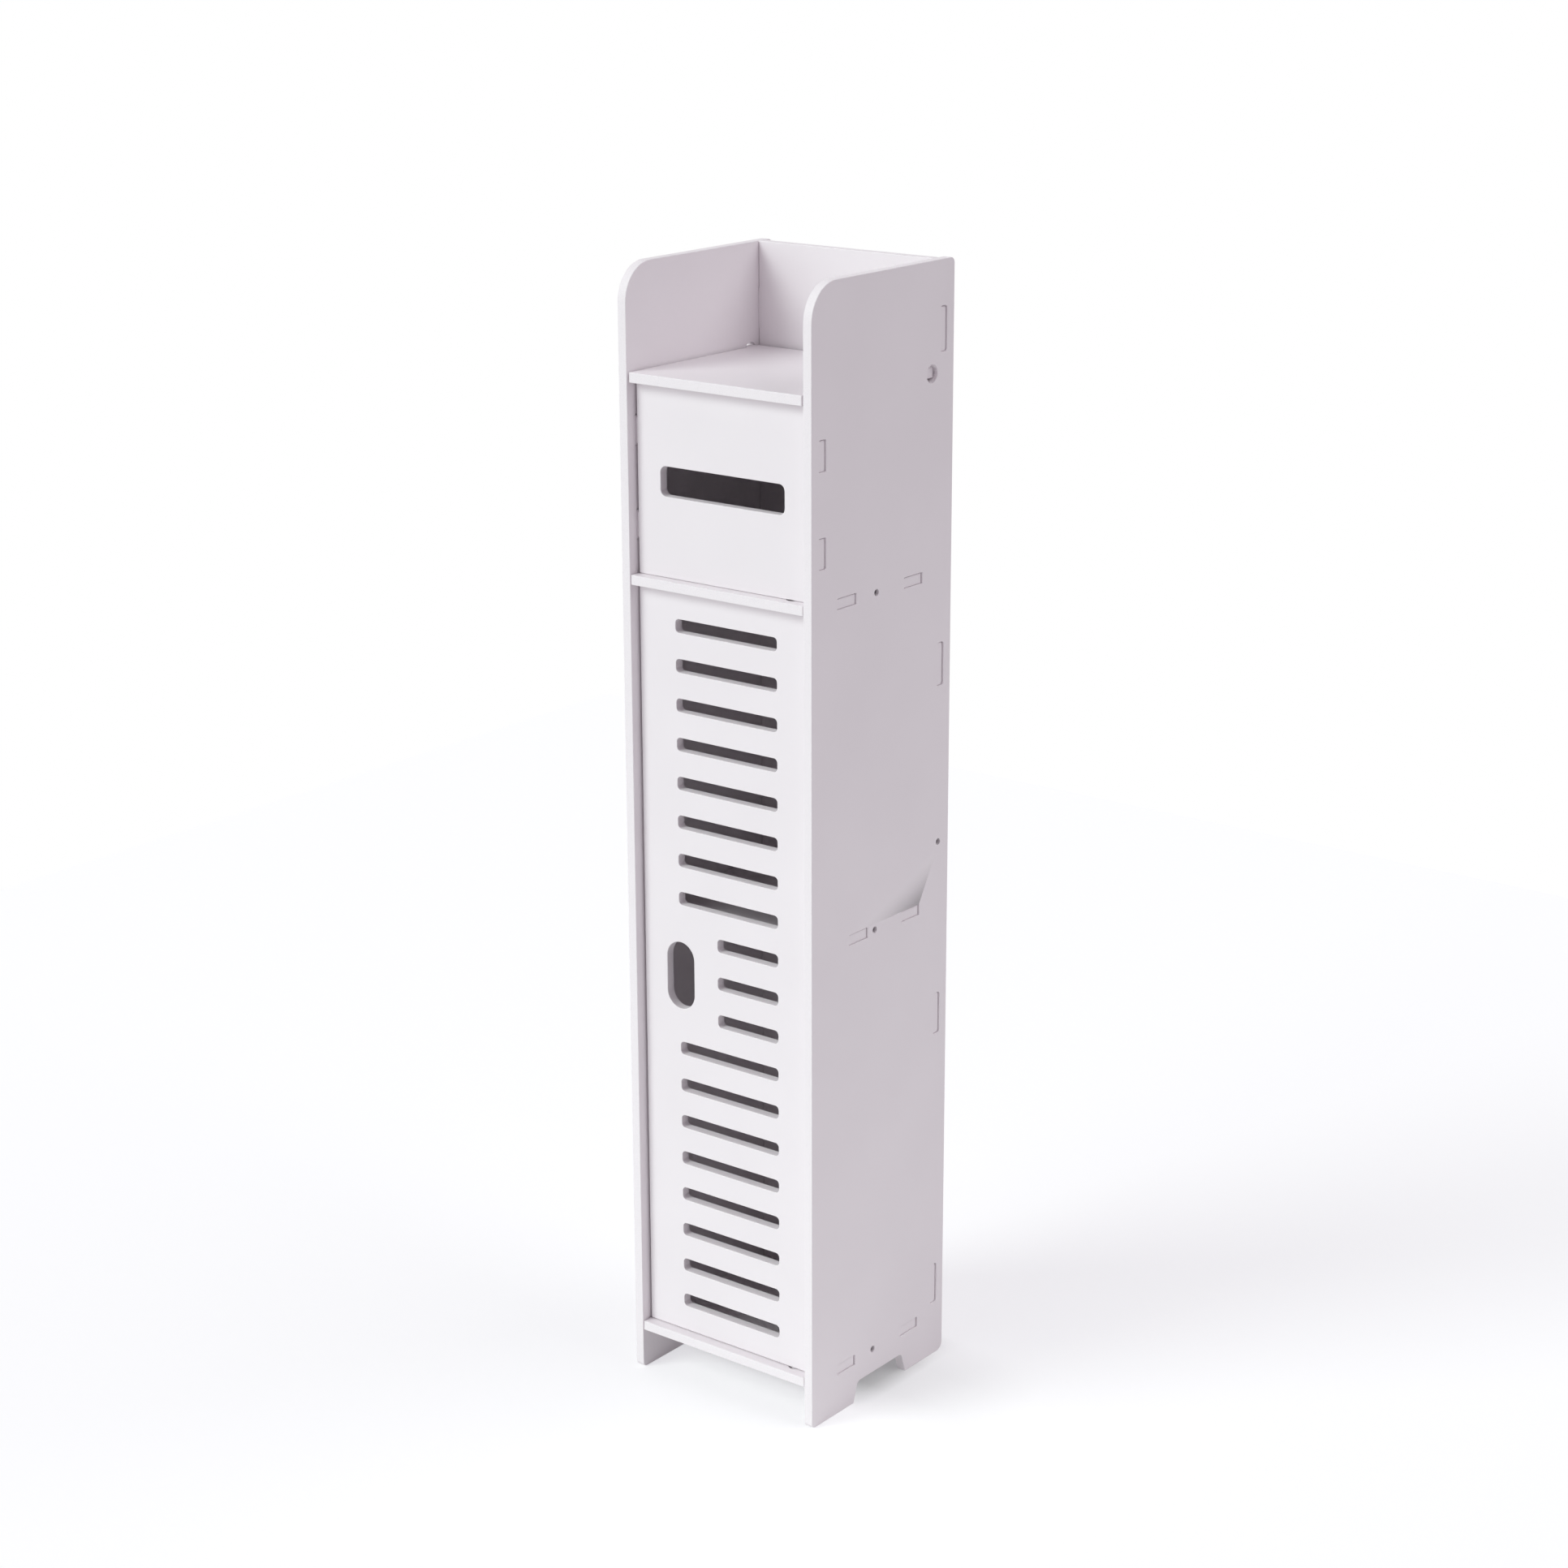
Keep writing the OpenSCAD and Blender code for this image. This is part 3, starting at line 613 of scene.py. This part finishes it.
# %% Door
DOOR_SIDE_GAP = 1.4
DOOR_BOTTOM_GAP = 0.5
DOOR_TOP_GAP = 1.2
LOUVRE_COUNT = 19
LOUVRE_HEIGHT = 9.5
LOUVRE_RADIUS = 3.0
LOUVRE_ARRIS = 0.35
LOUVRE_FREE_MARGIN = 31.1
LOUVRE_HINGE_MARGIN = 26.7
LOUVRE_END_MARGIN = 23.6
FINGER_HOLE = (24.0, 49.0)
FINGER_INSET = 31.8
FINGER_DROP = 1.6
FINGER_WEB = 21.1
FINGER_RAIL = 10.0
PIN_INSET = 1.8

door_x = inner_x - DOOR_SIDE_GAP
door_bottom = span("bottom_shelf")[1][2] + DOOR_BOTTOM_GAP
door_top = span("upper_shelf")[0][2] - DOOR_TOP_GAP
finger = np.array([-door_x + FINGER_INSET, (door_bottom + door_top) / 2 - FINGER_DROP])
short_left = finger[0] + FINGER_HOLE[0] / 2 + FINGER_WEB
finger_reach = (FINGER_HOLE[1] + LOUVRE_HEIGHT) / 2 + FINGER_RAIL

door_loops = [
    (rectangle(-door_x, door_x, door_bottom, door_top), eased(ARRIS, board)),
    (rounded_rect(finger, FINGER_HOLE, FINGER_HOLE[0] / 2, hole=True, steps=ROUND_STEPS),
     eased(ARRIS, board)),
]
louvre_right = door_x - LOUVRE_HINGE_MARGIN
for z in np.linspace(door_bottom + LOUVRE_END_MARGIN, door_top - LOUVRE_END_MARGIN, LOUVRE_COUNT):
    louvre_left = short_left if abs(z - finger[1]) < finger_reach else -door_x + LOUVRE_FREE_MARGIN
    louvre = rounded_rect(((louvre_left + louvre_right) / 2, z), (louvre_right - louvre_left, LOUVRE_HEIGHT),
                          LOUVRE_RADIUS, hole=True, steps=SMALL_HOLE_STEPS)
    door_loops.append((louvre, eased(LOUVRE_ARRIS, board)))

door_low, door_high = span("door")
door_shells = [placed(slab(door_loops, board), "upright", door_high[1])]
tab_loop = rounded_rect(door_pivot[:2], (DOOR_TAB[0], DOOR_TAB[1] - 2 * PIN_INSET), SHELF_TAB_RADIUS)
for low_z, high_z in ((door_low[2], door_bottom + TAB_ROOT), (door_top - TAB_ROOT, door_high[2])):
    pivot_tab = slab([(tab_loop, eased(TAB_ARRIS, high_z - low_z))], high_z - low_z)
    door_shells.append(placed(pivot_tab, "flat", low_z))
boards.append(board_piece("door_board", "door", "door", door_shells))
print("boards:", len(boards), "louvres:", LOUVRE_COUNT)

# %% [markdown]
# ## Screws
#
# A screw is one surface of two parameters: the angle round its axis, and a station that runs from the
# middle of the head, over the rim and down the thread to the point. The thread is a ridge whose phase
# is the distance along the axis in pitches plus the share of a turn, which makes it a helix. The
# cross recess is a dent in the head, where the distance to the nearer arm's middle line is less than
# half the arm's width. Only the ends of the surface are poles, and each is closed by one point.

# %% Screw surface
THREAD_PITCH = 1.2
THREAD_DEPTH = 0.32
THREAD_START = 1.2
POINT_SHARE = 0.12
HEAD_DOME = 0.35
HEAD_ROUND = 0.3
RECESS_REACH = 0.31
RECESS_WIDTH = 0.085
RECESS_DEPTH = 0.6
RECESS_BLEND = 0.03
HEAD_CHAMFER = 0.1
HEAD_RINGS = 14
SHANK_INSET = 0.05
SHANK_MARGIN = 0.1
RIDGE_SHARE = 0.3
POINT_RADIUS_SHARE = 0.04
CREASE_ANGLE = 50
TURN_POINTS = 48
RINGS_PER_PITCH = 8


def smooth_step(value, low, high):
    """0 below low, 1 above high and a smooth cubic between them."""
    t = np.clip((value - low) / (high - low), 0, 1)
    return t * t * (3 - 2 * t)


def screw_points(diameter, length, head, head_height):
    """The rings of a screw that points down -Z, with the top of its head at the origin.

    On the head's top, at radius r, the height is -dome * (r / rim)^2 less the recess where a point is
    inside the cross. On the shank the radius is the core's, plus the thread's ridge, and near the
    tip both shrink with the distance that is left to the point."""
    angle = np.linspace(0, 2 * np.pi, TURN_POINTS, endpoint=False)[None]
    rim = head / 2 - HEAD_ROUND
    r = np.linspace(0, rim, HEAD_RINGS + 1)[1:, None]
    arm = np.minimum(np.abs(r * np.cos(angle)), np.abs(r * np.sin(angle)))
    blend = RECESS_BLEND * head
    inside = 1 - smooth_step(arm, RECESS_WIDTH * head - blend / 2, RECESS_WIDTH * head + blend / 2)
    inside = inside * (1 - smooth_step(r, RECESS_REACH * head, RECESS_REACH * head + blend))
    top_z = -HEAD_DOME * (r / rim) ** 2 - RECESS_DEPTH * head_height * inside
    top_r = np.broadcast_to(r, top_z.shape)

    a = np.linspace(0, np.pi / 2, ARRIS_STEPS + 1)[1:, None]
    rim_r = rim + HEAD_ROUND * np.sin(a)
    rim_z = -HEAD_DOME - HEAD_ROUND * (1 - np.cos(a))
    under_r = np.array([[head / 2], [head / 2 - HEAD_CHAMFER], [diameter / 2 - SHANK_INSET]])
    under_z = np.array([[HEAD_CHAMFER - head_height], [-head_height], [-head_height]])
    ring_r = np.repeat(np.vstack([rim_r, under_r]), TURN_POINTS, 1)
    ring_z = np.repeat(np.vstack([rim_z, under_z]), TURN_POINTS, 1)

    rings = int((length - head_height) / THREAD_PITCH * RINGS_PER_PITCH)
    z = np.linspace(-head_height - SHANK_MARGIN, SHANK_MARGIN - length, rings)[:, None]
    phase = (z / THREAD_PITCH + angle / (2 * np.pi)) % 1
    ridge = np.maximum(0, 1 - np.abs(phase - 0.5) / RIDGE_SHARE)
    started = smooth_step(-z, head_height + THREAD_START, head_height + 2 * THREAD_START)
    left = np.clip((z + length) / (length * POINT_SHARE), 0, 1)
    shank_r = diameter / 2 * left - THREAD_DEPTH * (1 - ridge) * started * np.minimum(1, left)
    shank_r = np.maximum(shank_r, POINT_RADIUS_SHARE * diameter)
    shank_z = np.broadcast_to(z, shank_r.shape)

    radius = np.vstack([top_r, ring_r, shank_r])
    axial = np.vstack([top_z, ring_z, shank_z])
    surface = np.dstack([radius * np.cos(angle), radius * np.sin(angle), axial])
    centre_z = -RECESS_DEPTH * head_height
    return surface, np.array([0, 0, centre_z]), np.array([0, 0, -length])


def screw_faces(rows, columns):
    """Quads between neighbouring rings, and a fan of triangles to the pole at each end."""
    grid = np.arange(rows * columns).reshape(rows, columns)
    after = np.roll(grid, -1, 1)
    quads = np.stack([grid[:-1], grid[1:], after[1:], after[:-1]], -1).reshape(-1, 4)
    first, last = np.full(columns, rows * columns), np.full(columns, rows * columns + 1)
    fans = np.vstack([np.stack([first, grid[0], after[0]], 1), np.stack([last, after[-1], grid[-1]], 1)])
    return quads.tolist() + fans.tolist()


def screw_piece(name, node, body, sizes, places):
    """One object with a screw at each place: (x, y, z) of the head's top and the axis it points along.

    The frame of a screw is its own axis with any two directions square to it."""
    surface, top, tip = screw_points(*sizes)
    rows, columns = surface.shape[:2]
    local = np.vstack([surface.reshape(-1, 3), top, tip])
    points, faces = [], []
    for position, pointing in places:
        down = np.array(pointing, float)
        across = np.roll(np.abs(down), 1)
        turn = np.array([across, np.cross(-down, across), -down])
        points.append(local @ turn + position)
        start = len(local) * len(faces)
        faces.append([[index + start for index in corners] for corners in screw_faces(rows, columns)])
    mesh = bpy.data.meshes.new(name)
    mesh.from_pydata((np.vstack(points) * MM).tolist(), [], sum(faces, []), shade_flat=False)
    mesh.set_sharp_from_angle(angle=np.radians(CREASE_ANGLE))
    return stand_in(bpy.data.objects.new(name, mesh), [node], body)


# %% [markdown]
# Eight long dark screws hold the boards, one into each shelf end and one into each edge of the back
# panel. Two short plated ones hold the door catch and two more its strike plate. The frame's boxes
# give where each head and each tip lies.

# %% Screws in their holes
SCREW_DIAMETER = 3.0
HEAD_DIAMETER = 4.4
SMALL_SCREW_DIAMETER = 2.4
SMALL_HEAD_DIAMETER = 4.0
SMALL_HEAD_HEIGHT = 1.4

screws = []
for row in screw_names:
    for side, sign in (("left", -1), ("right", 1)):
        low, high = span(f"{row}_screw_{side}")
        middle = (low + high) / 2
        head_x = high[0] if sign > 0 else low[0]
        sizes = (SCREW_DIAMETER, high[0] - low[0], HEAD_DIAMETER, HEAD_HEIGHT)
        screws.append(screw_piece(f"screw_{row}_{side}", f"{row}_screw_{side}", "cabinet",
                                  sizes, [((head_x, middle[1], middle[2]), (-sign, 0, 0))]))

catch_low, catch_high = span("catch_screws")
strike_low, strike_high = span("strike_screws")
head_half = SMALL_HEAD_DIAMETER / 2
catch_places = [((x, (catch_low[1] + catch_high[1]) / 2, catch_low[2]), (0, 0, 1))
                for x in (catch_low[0] + head_half, catch_high[0] - head_half)]
strike_places = [((x, strike_high[1], (strike_low[2] + strike_high[2]) / 2), (0, -1, 0))
                 for x in (strike_low[0] + head_half, strike_high[0] - head_half)]


def small_sizes(length):
    """The sizes of a small screw of a given length, in the order that screw_points takes."""
    return (SMALL_SCREW_DIAMETER, length, SMALL_HEAD_DIAMETER, SMALL_HEAD_HEIGHT)


small_screws = [
    screw_piece("catch_screw_pair", "catch_screws", "cabinet",
                small_sizes(catch_high[2] - catch_low[2]), catch_places),
    screw_piece("strike_screw_pair", "strike_screws", "door",
                small_sizes(strike_high[1] - strike_low[1]), strike_places),
]
print("faces in one assembly screw:", len(screws[0].data.polygons))

# %% [markdown]
# ## The door catch
#
# A magnetic catch under the upper shelf stops the door at shut. Its pieces are plain blocks with
# pockets and holes, and the frame's solids already have that shape. A merged copy of each gets a
# small Bevel: wide on the moulded case, hardly there on the ground magnet and the stamped plates.

# %% Catch pieces
MERGE_DISTANCE = 0.01
COPLANAR_ANGLE = 1
BEVEL_SEGMENTS = 3
CATCH_PIECES = [
    ("catch_case", "catch_housing", "cabinet", "catch_plastic", 0.5),
    ("catch_magnet_block", "catch_magnet", "cabinet", "ferrite", 0.15),
    ("catch_pole_plate_upper", "catch_pole_upper", "cabinet", "plated_steel", 0.2),
    ("catch_pole_plate_lower", "catch_pole_lower", "cabinet", "plated_steel", 0.2),
    ("catch_strike_plate", "strike_plate", "door", "plated_steel", 0.25),
]


def softened(name, node, body, slot, radius):
    """A merged copy of a frame node whose edges are rounded to radius by a Bevel modifier."""
    mesh = frame["nodes"][node].data.copy()
    mesh.name = name
    mesh.materials.clear()
    shape = bmesh.new()
    shape.from_mesh(mesh)
    bmesh.ops.remove_doubles(shape, verts=shape.verts, dist=MERGE_DISTANCE * MM)
    bmesh.ops.dissolve_limit(shape, angle_limit=np.radians(COPLANAR_ANGLE), verts=shape.verts,
                             edges=shape.edges)
    shape.to_mesh(mesh)
    shape.free()
    piece = bpy.data.objects.new(name, mesh)
    bevel = piece.modifiers.new("eased", "BEVEL")
    bevel.width = radius * MM
    bevel.segments = BEVEL_SEGMENTS
    bevel.limit_method = "ANGLE"
    bevel.angle_limit = np.radians(SHARP_ANGLE)
    bevel.harden_normals = True
    mesh.shade_smooth()
    return stand_in(piece, [node], body)


catch = {name: softened(name, *rest) for name, *rest in CATCH_PIECES}
print("catch pieces:", sorted(catch))

# %% [markdown]
# ## Shader sums in Python
#
# A material is a small calculation that Blender repeats for every point of a surface. Wiring the
# nodes by hand hides that, so a tiny class wraps an output and overloads the usual signs: writing
# 1 - mask adds the Math node. Every other node comes from one method, which makes the node, sets it
# up, and then fills its sockets with values or links.

# %% Shader helpers
class Wire:
    """The output of a node. Sums on wires add Math nodes to the same tree."""

    def __init__(self, shader, socket):
        self.shader, self.socket = shader, socket

    def math(self, operation, *values):
        return self.shader.add("Math", {"operation": operation}, dict(enumerate(values)))

    def __add__(self, other):
        return self.math("ADD", self, other)

    def __sub__(self, other):
        return self.math("SUBTRACT", self, other)

    def __rsub__(self, other):
        return self.math("SUBTRACT", other, self)

    def __mul__(self, other):
        return self.math("MULTIPLY", self, other)

    __radd__ = __add__
    __rmul__ = __mul__

    def between(self, low, high):
        """0 up to low, 1 from high on, and straight between them."""
        return self.shader.add("MapRange", {}, {"Value": self, "From Min": low, "From Max": high})


class Shader:
    """The node tree of a material or of the world, written as Python."""

    def __init__(self, owner):
        owner.use_nodes = True
        self.tree = owner.node_tree
        self.tree.nodes.clear()

    def add(self, kind, settings=None, inputs=None, output=0):
        """Adds a node, makes its settings, fills its sockets and returns one of its outputs."""
        node = self.tree.nodes.new("ShaderNode" + kind)
        for name, value in (settings or {}).items():
            setattr(node, name, value)
        for name, value in (inputs or {}).items():
            if isinstance(value, Wire):
                self.tree.links.new(value.socket, node.inputs[name])
            else:
                node.inputs[name].default_value = value
        return Wire(self, node.outputs[output]) if node.outputs else None

    def place(self):
        """Where a point lies on the object, in metres. The objects sit at the origin, unturned."""
        return self.add("TexCoord", output="Object")

    def noise(self, place, scale, detail):
        """Cloudy noise from 0 to 1, with about scale clouds in a metre."""
        return self.add("TexNoise", {}, {"Vector": place, "Scale": scale, "Detail": detail})

    def blend(self, factor, first, second):
        """A mix of two colours."""
        return self.add("Mix", {"data_type": "RGBA"}, {0: factor, 6: first, 7: second}, output=2)

    def bump(self, height):
        """A normal from a height in millimetres."""
        return self.add("Bump", {}, {"Strength": 1.0, "Distance": MM, "Height": height})


def finish(name):
    """Starts a material. Gives its shader and a function that closes it with the Principled sockets."""
    material = bpy.data.materials.new(name)
    shader = Shader(material)

    def close(**values):
        sockets = {socket.replace("_", " "): value for socket, value in values.items()}
        principled = shader.add("BsdfPrincipled", {}, sockets)
        shader.add("OutputMaterial", {}, {"Surface": principled})
        return material

    return shader, close


# %% [markdown]
# ## The board's finish: a satin skin over fine foam
#
# Foam board has a smooth skin, white with a hint of rose, that isn't quite flat: rolling leaves a
# fine orange peel and slow waves, which show only in the way light slides over it. Where the router
# opened the foam, the edge is duller, a little whiter, and has tiny pores, painted darker as the shade
# in their pits, and faint cutter marks at right angles to the path. The cut attribute says where that
# is, and the surface map carries the cutter marks round every corner, because its first number is the
# length along the edge.

# %% Foam board
SKIN = (0.84, 0.79, 0.82, 1.0)
SKIN_SHADE = (0.82, 0.77, 0.8, 1.0)
CORE = (0.855, 0.806, 0.835, 1.0)
PORE_SHADE = (0.71, 0.665, 0.69, 1.0)
WAVE_SCALE = 14
PEEL_SCALE = 900
GRAIN_SCALE = 2600
PORE_SCALE = 1500
CUTTER_MARKS = 1100
MARK_WOBBLE = 1.5
WAVE_NODE_FACTOR = 20
WAVE_RANGE = (0.3, 0.7)
PORE_RANGE = (0.1, 0.28)
SKIN_ROUGHNESS = 0.4
GRAIN_ROUGHNESS = 0.1
CUT_ROUGHNESS = 0.2
PEEL_HEIGHT = 0.006
WAVE_HEIGHT = 0.12
MARK_HEIGHT = 0.008
PORE_DEPTH = 0.03


def foam_board():
    shader, close = finish("foam_board_satin")
    place = shader.place()
    cut = shader.add("Attribute", {"attribute_name": "cut"}, output="Fac")
    waves = shader.noise(place, WAVE_SCALE, 1)
    peel = shader.noise(place, PEEL_SCALE, 2)
    grain = shader.noise(place, GRAIN_SCALE, 3)
    cell = shader.add("TexVoronoi", {}, {"Vector": place, "Scale": PORE_SCALE}, output="Distance")
    pore = (1 - cell.between(*PORE_RANGE)) * cut
    surface = shader.add("UVMap", {"uv_map": "surface"})
    marks = shader.add("TexWave", {"wave_type": "BANDS", "bands_direction": "X"},
                       {"Vector": surface, "Scale": CUTTER_MARKS / WAVE_NODE_FACTOR,
                        "Distortion": MARK_WOBBLE, "Detail": 1.0})
    skin = shader.blend(waves.between(*WAVE_RANGE), SKIN_SHADE, SKIN)
    colour = shader.blend(cut, skin, CORE)
    # Painted shade: the pores are blended towards a darker colour that stands for the shade in their pits.
    colour = shader.blend(pore, colour, PORE_SHADE)
    height = PEEL_HEIGHT * peel + WAVE_HEIGHT * waves + MARK_HEIGHT * marks * cut - PORE_DEPTH * pore
    roughness = SKIN_ROUGHNESS + GRAIN_ROUGHNESS * grain + CUT_ROUGHNESS * cut
    return close(Base_Color=colour, Roughness=roughness, Normal=shader.bump(height))


board_finish = foam_board()
for piece in boards:
    piece.data.materials.append(board_finish)
print("boards finished:", len(boards))

# %% [markdown]
# ## Metals, plastic and magnet
#
# The assembly screws are black oxide: nearly black, dull, with cloudy patches a little greyer. The
# small screws are zinc plated, with the soft cloudiness of plating. The pole and strike plates are
# nickel over rolled steel, so fine lines run along them. The case is moulded plastic with a faint
# spark texture, and the magnet is sintered, grainy and dark.

# %% Small finishes
def black_oxide():
    shader, close = finish("screw_black_oxide")
    place = shader.place()
    cloud = shader.noise(place, 900, 3)
    fine = shader.noise(place, 5200, 2)
    colour = shader.blend(cloud.between(0.45, 0.75), (0.018, 0.017, 0.018, 1), (0.055, 0.052, 0.053, 1))
    return close(Base_Color=colour, Metallic=0.85, Roughness=0.38 + 0.2 * cloud,
                 Normal=shader.bump(0.006 * fine))


def zinc_plate():
    shader, close = finish("screw_zinc_plate")
    place = shader.place()
    cloud = shader.noise(place, 700, 4)
    fine = shader.noise(place, 6000, 2)
    colour = shader.blend(cloud, (0.6, 0.6, 0.58, 1), (0.8, 0.8, 0.79, 1))
    return close(Base_Color=colour, Metallic=1.0, Roughness=0.2 + 0.18 * cloud,
                 Normal=shader.bump(0.004 * fine))


def nickel_plate():
    shader, close = finish("plate_nickel_rolled")
    place = shader.place()
    along = shader.add("Mapping", {}, {"Vector": place, "Scale": (0.06, 1.0, 1.0)})
    lines = shader.noise(along, 5200, 3)
    cloud = shader.noise(place, 260, 2)
    colour = shader.blend(cloud, (0.6, 0.61, 0.62, 1), (0.74, 0.75, 0.76, 1))
    return close(Base_Color=colour, Metallic=1.0, Roughness=0.24 + 0.16 * lines,
                 Normal=shader.bump(0.004 * lines))


def moulded_plastic():
    shader, close = finish("catch_moulded_plastic")
    place = shader.place()
    spark = shader.noise(place, 2400, 2)
    cloud = shader.noise(place, 60, 1)
    colour = shader.blend(cloud, (0.83, 0.83, 0.81, 1), (0.88, 0.88, 0.865, 1))
    return close(Base_Color=colour, Roughness=0.28 + 0.12 * spark, Normal=shader.bump(0.012 * spark))


def sintered_ferrite():
    shader, close = finish("magnet_sintered_ferrite")
    place = shader.place()
    grain = shader.noise(place, 3600, 4)
    cell = shader.add("TexVoronoi", {}, {"Vector": place, "Scale": 1900}, output="Distance")
    chip = 1 - cell.between(0.08, 0.2)
    colour = shader.blend(grain, (0.045, 0.045, 0.049, 1), (0.085, 0.085, 0.09, 1))
    height = 0.02 * grain - 0.03 * chip
    return close(Base_Color=colour, Roughness=0.55 + 0.25 * grain, Normal=shader.bump(height))


plates = [catch[name] for name in ("catch_pole_plate_upper", "catch_pole_plate_lower", "catch_strike_plate")]
dressed = [
    (black_oxide(), screws),
    (zinc_plate(), small_screws),
    (nickel_plate(), plates),
    (moulded_plastic(), [catch["catch_case"]]),
    (sintered_ferrite(), [catch["catch_magnet_block"]]),
]
for material, pieces in dressed:
    for piece in pieces:
        piece.data.materials.append(material)
print("materials:", sorted(material.name for material in bpy.data.materials if material.users))

# %% [markdown]
# ## The studio
#
# The cabinet stands on pale paper in front of white. The light is soft: a weak even glow from all
# round, a key light from the front left that reaches the sills of the louvres, a broad and lower lamp
# beside it that softens the shadows in the corners, and one behind on the right for the side panel.
# All three are Sun lamps with a wide angle. A Sun is as strong at the far edge of the floor as
# near the cabinet, so the floor stays one tone round the shadow.
#
# The paper's size matters, because it lights the cabinet from below. It is short to the right, so the
# side panel grows lighter towards the floor. It is long to the front, so the door and the front panel
# get nearly as much of its light at the top as at the bottom.
#
# White behind the object doesn't come from more light. What the camera and reflections see of the
# world is plain white, through the Light Path node, and for the same rays the paper is part light of
# its own. All other rays get the real light level, so the colours stay true.
#
# That light of its own would wash out the dark patch under the cabinet, which makes it stand on the
# paper rather than float. So it is taken back under the rear part and a little way out to the right,
# on the side turned from the key light: a painted shadow, placed by position on the paper. Each ramp
# is straight along X or Y, in metres.

# %% World
GLOW = (1.0, 0.89, 1.0, 1.0)
GLOW_STRENGTH = 0.325


def seen_directly(shader):
    """1 for rays from the camera, from reflections and through glass, and 0 for all other rays."""
    kinds = ("Camera", "Glossy", "Transmission")
    return sum(shader.add("LightPath", output=f"Is {kind} Ray") for kind in kinds)


world = bpy.data.worlds.new("studio")
bpy.context.scene.world = world
sky = Shader(world)
glow = sky.add("Background", {}, {"Color": GLOW, "Strength": GLOW_STRENGTH})
white = sky.add("Background", {}, {"Color": (1, 1, 1, 1), "Strength": 1.0})
sky.add("OutputWorld", {}, {"Surface": sky.add("MixShader", {}, {0: seen_directly(sky), 1: glow, 2: white})})

# %% Floor
FLOOR_REACH = 1.3
FLOOR_REACH_FRONT = 5.0
FLOOR_TONE = (0.9, 0.9, 0.9, 1.0)
FLOOR_TONE_SEEN = (0.48, 0.48, 0.47, 1.0)
FLOOR_LIFT = 0.58
FLOOR_LIFT_COLOUR = (1.0, 1.0, 1.04, 1.0)
FADE_FROM_FRONT = (-0.04, 0.0)
FADE_TO_REAR = (0.045, 0.095)
FADE_FROM_LEFT = (-0.08, -0.04)
UNDER_TO_RIGHT = (0.074, 0.09)
UNDER_SHADOW = 0.42
BESIDE_TO_RIGHT = (0.09, 0.18)
BESIDE_SHADOW = 0.22

floor_mesh = bpy.data.meshes.new("floor")
floor_corners = [(-FLOOR_REACH, -FLOOR_REACH_FRONT, 0), (FLOOR_REACH, -FLOOR_REACH_FRONT, 0),
                 (FLOOR_REACH, FLOOR_REACH, 0), (-FLOOR_REACH, FLOOR_REACH, 0)]
floor_mesh.from_pydata(floor_corners, [], [(0, 1, 2, 3)])
floor = bpy.data.objects.new("floor", floor_mesh)
bpy.context.collection.objects.link(floor)
floor_material = bpy.data.materials.new("floor_paper")
paper = Shader(floor_material)
seen = seen_directly(paper)
floor_x, floor_y = (paper.add("SeparateXYZ", {}, {0: paper.place()}, output=axis) for axis in (0, 1))
# Painted shadow: by position, the paper's own light is taken back under the cabinet and beside it on the
# right.
under = UNDER_SHADOW * (1 - floor_x.between(*UNDER_TO_RIGHT))
beside = BESIDE_SHADOW * (1 - floor_x.between(*BESIDE_TO_RIGHT))
along_depth = floor_y.between(*FADE_FROM_FRONT) * (1 - floor_y.between(*FADE_TO_REAR))
painted_shadow = (under + beside) * floor_x.between(*FADE_FROM_LEFT) * along_depth
diffuse = paper.add("BsdfDiffuse", {}, {"Color": paper.blend(seen, FLOOR_TONE, FLOOR_TONE_SEEN)})
lift = paper.add("Emission", {}, {"Color": FLOOR_LIFT_COLOUR, "Strength": seen * FLOOR_LIFT * (1 - painted_shadow)})
paper.add("OutputMaterial", {}, {"Surface": paper.add("AddShader", {}, {0: diffuse, 1: lift})})
floor_mesh.materials.append(floor_material)

# %% Lamps
Lamp = namedtuple("Lamp", "name azimuth elevation angle strength colour")
LAMPS = [
    Lamp("broad", -22, 22, 50, 1.22, (0.87, 1.0, 0.935)),
    Lamp("key", -30, 38, 25, 1.06, (0.935, 1.0, 0.975)),
    Lamp("rear", 115, 45, 50, 0.95, (0.965, 1.0, 0.98)),
]

for lamp in LAMPS:
    sun = bpy.data.objects.new(lamp.name, bpy.data.lights.new(lamp.name, "SUN"))
    sun.data.energy = lamp.strength
    sun.data.angle = np.radians(lamp.angle)
    sun.data.color = lamp.colour
    sun.rotation_euler = Vector(look_from(lamp.azimuth, lamp.elevation)).to_track_quat("Z", "Y").to_euler()
    bpy.context.collection.objects.link(sun)
bpy.context.scene.view_settings.view_transform = "Standard"
print("lamps:", [lamp.name for lamp in LAMPS], "glow", GLOW_STRENGTH)
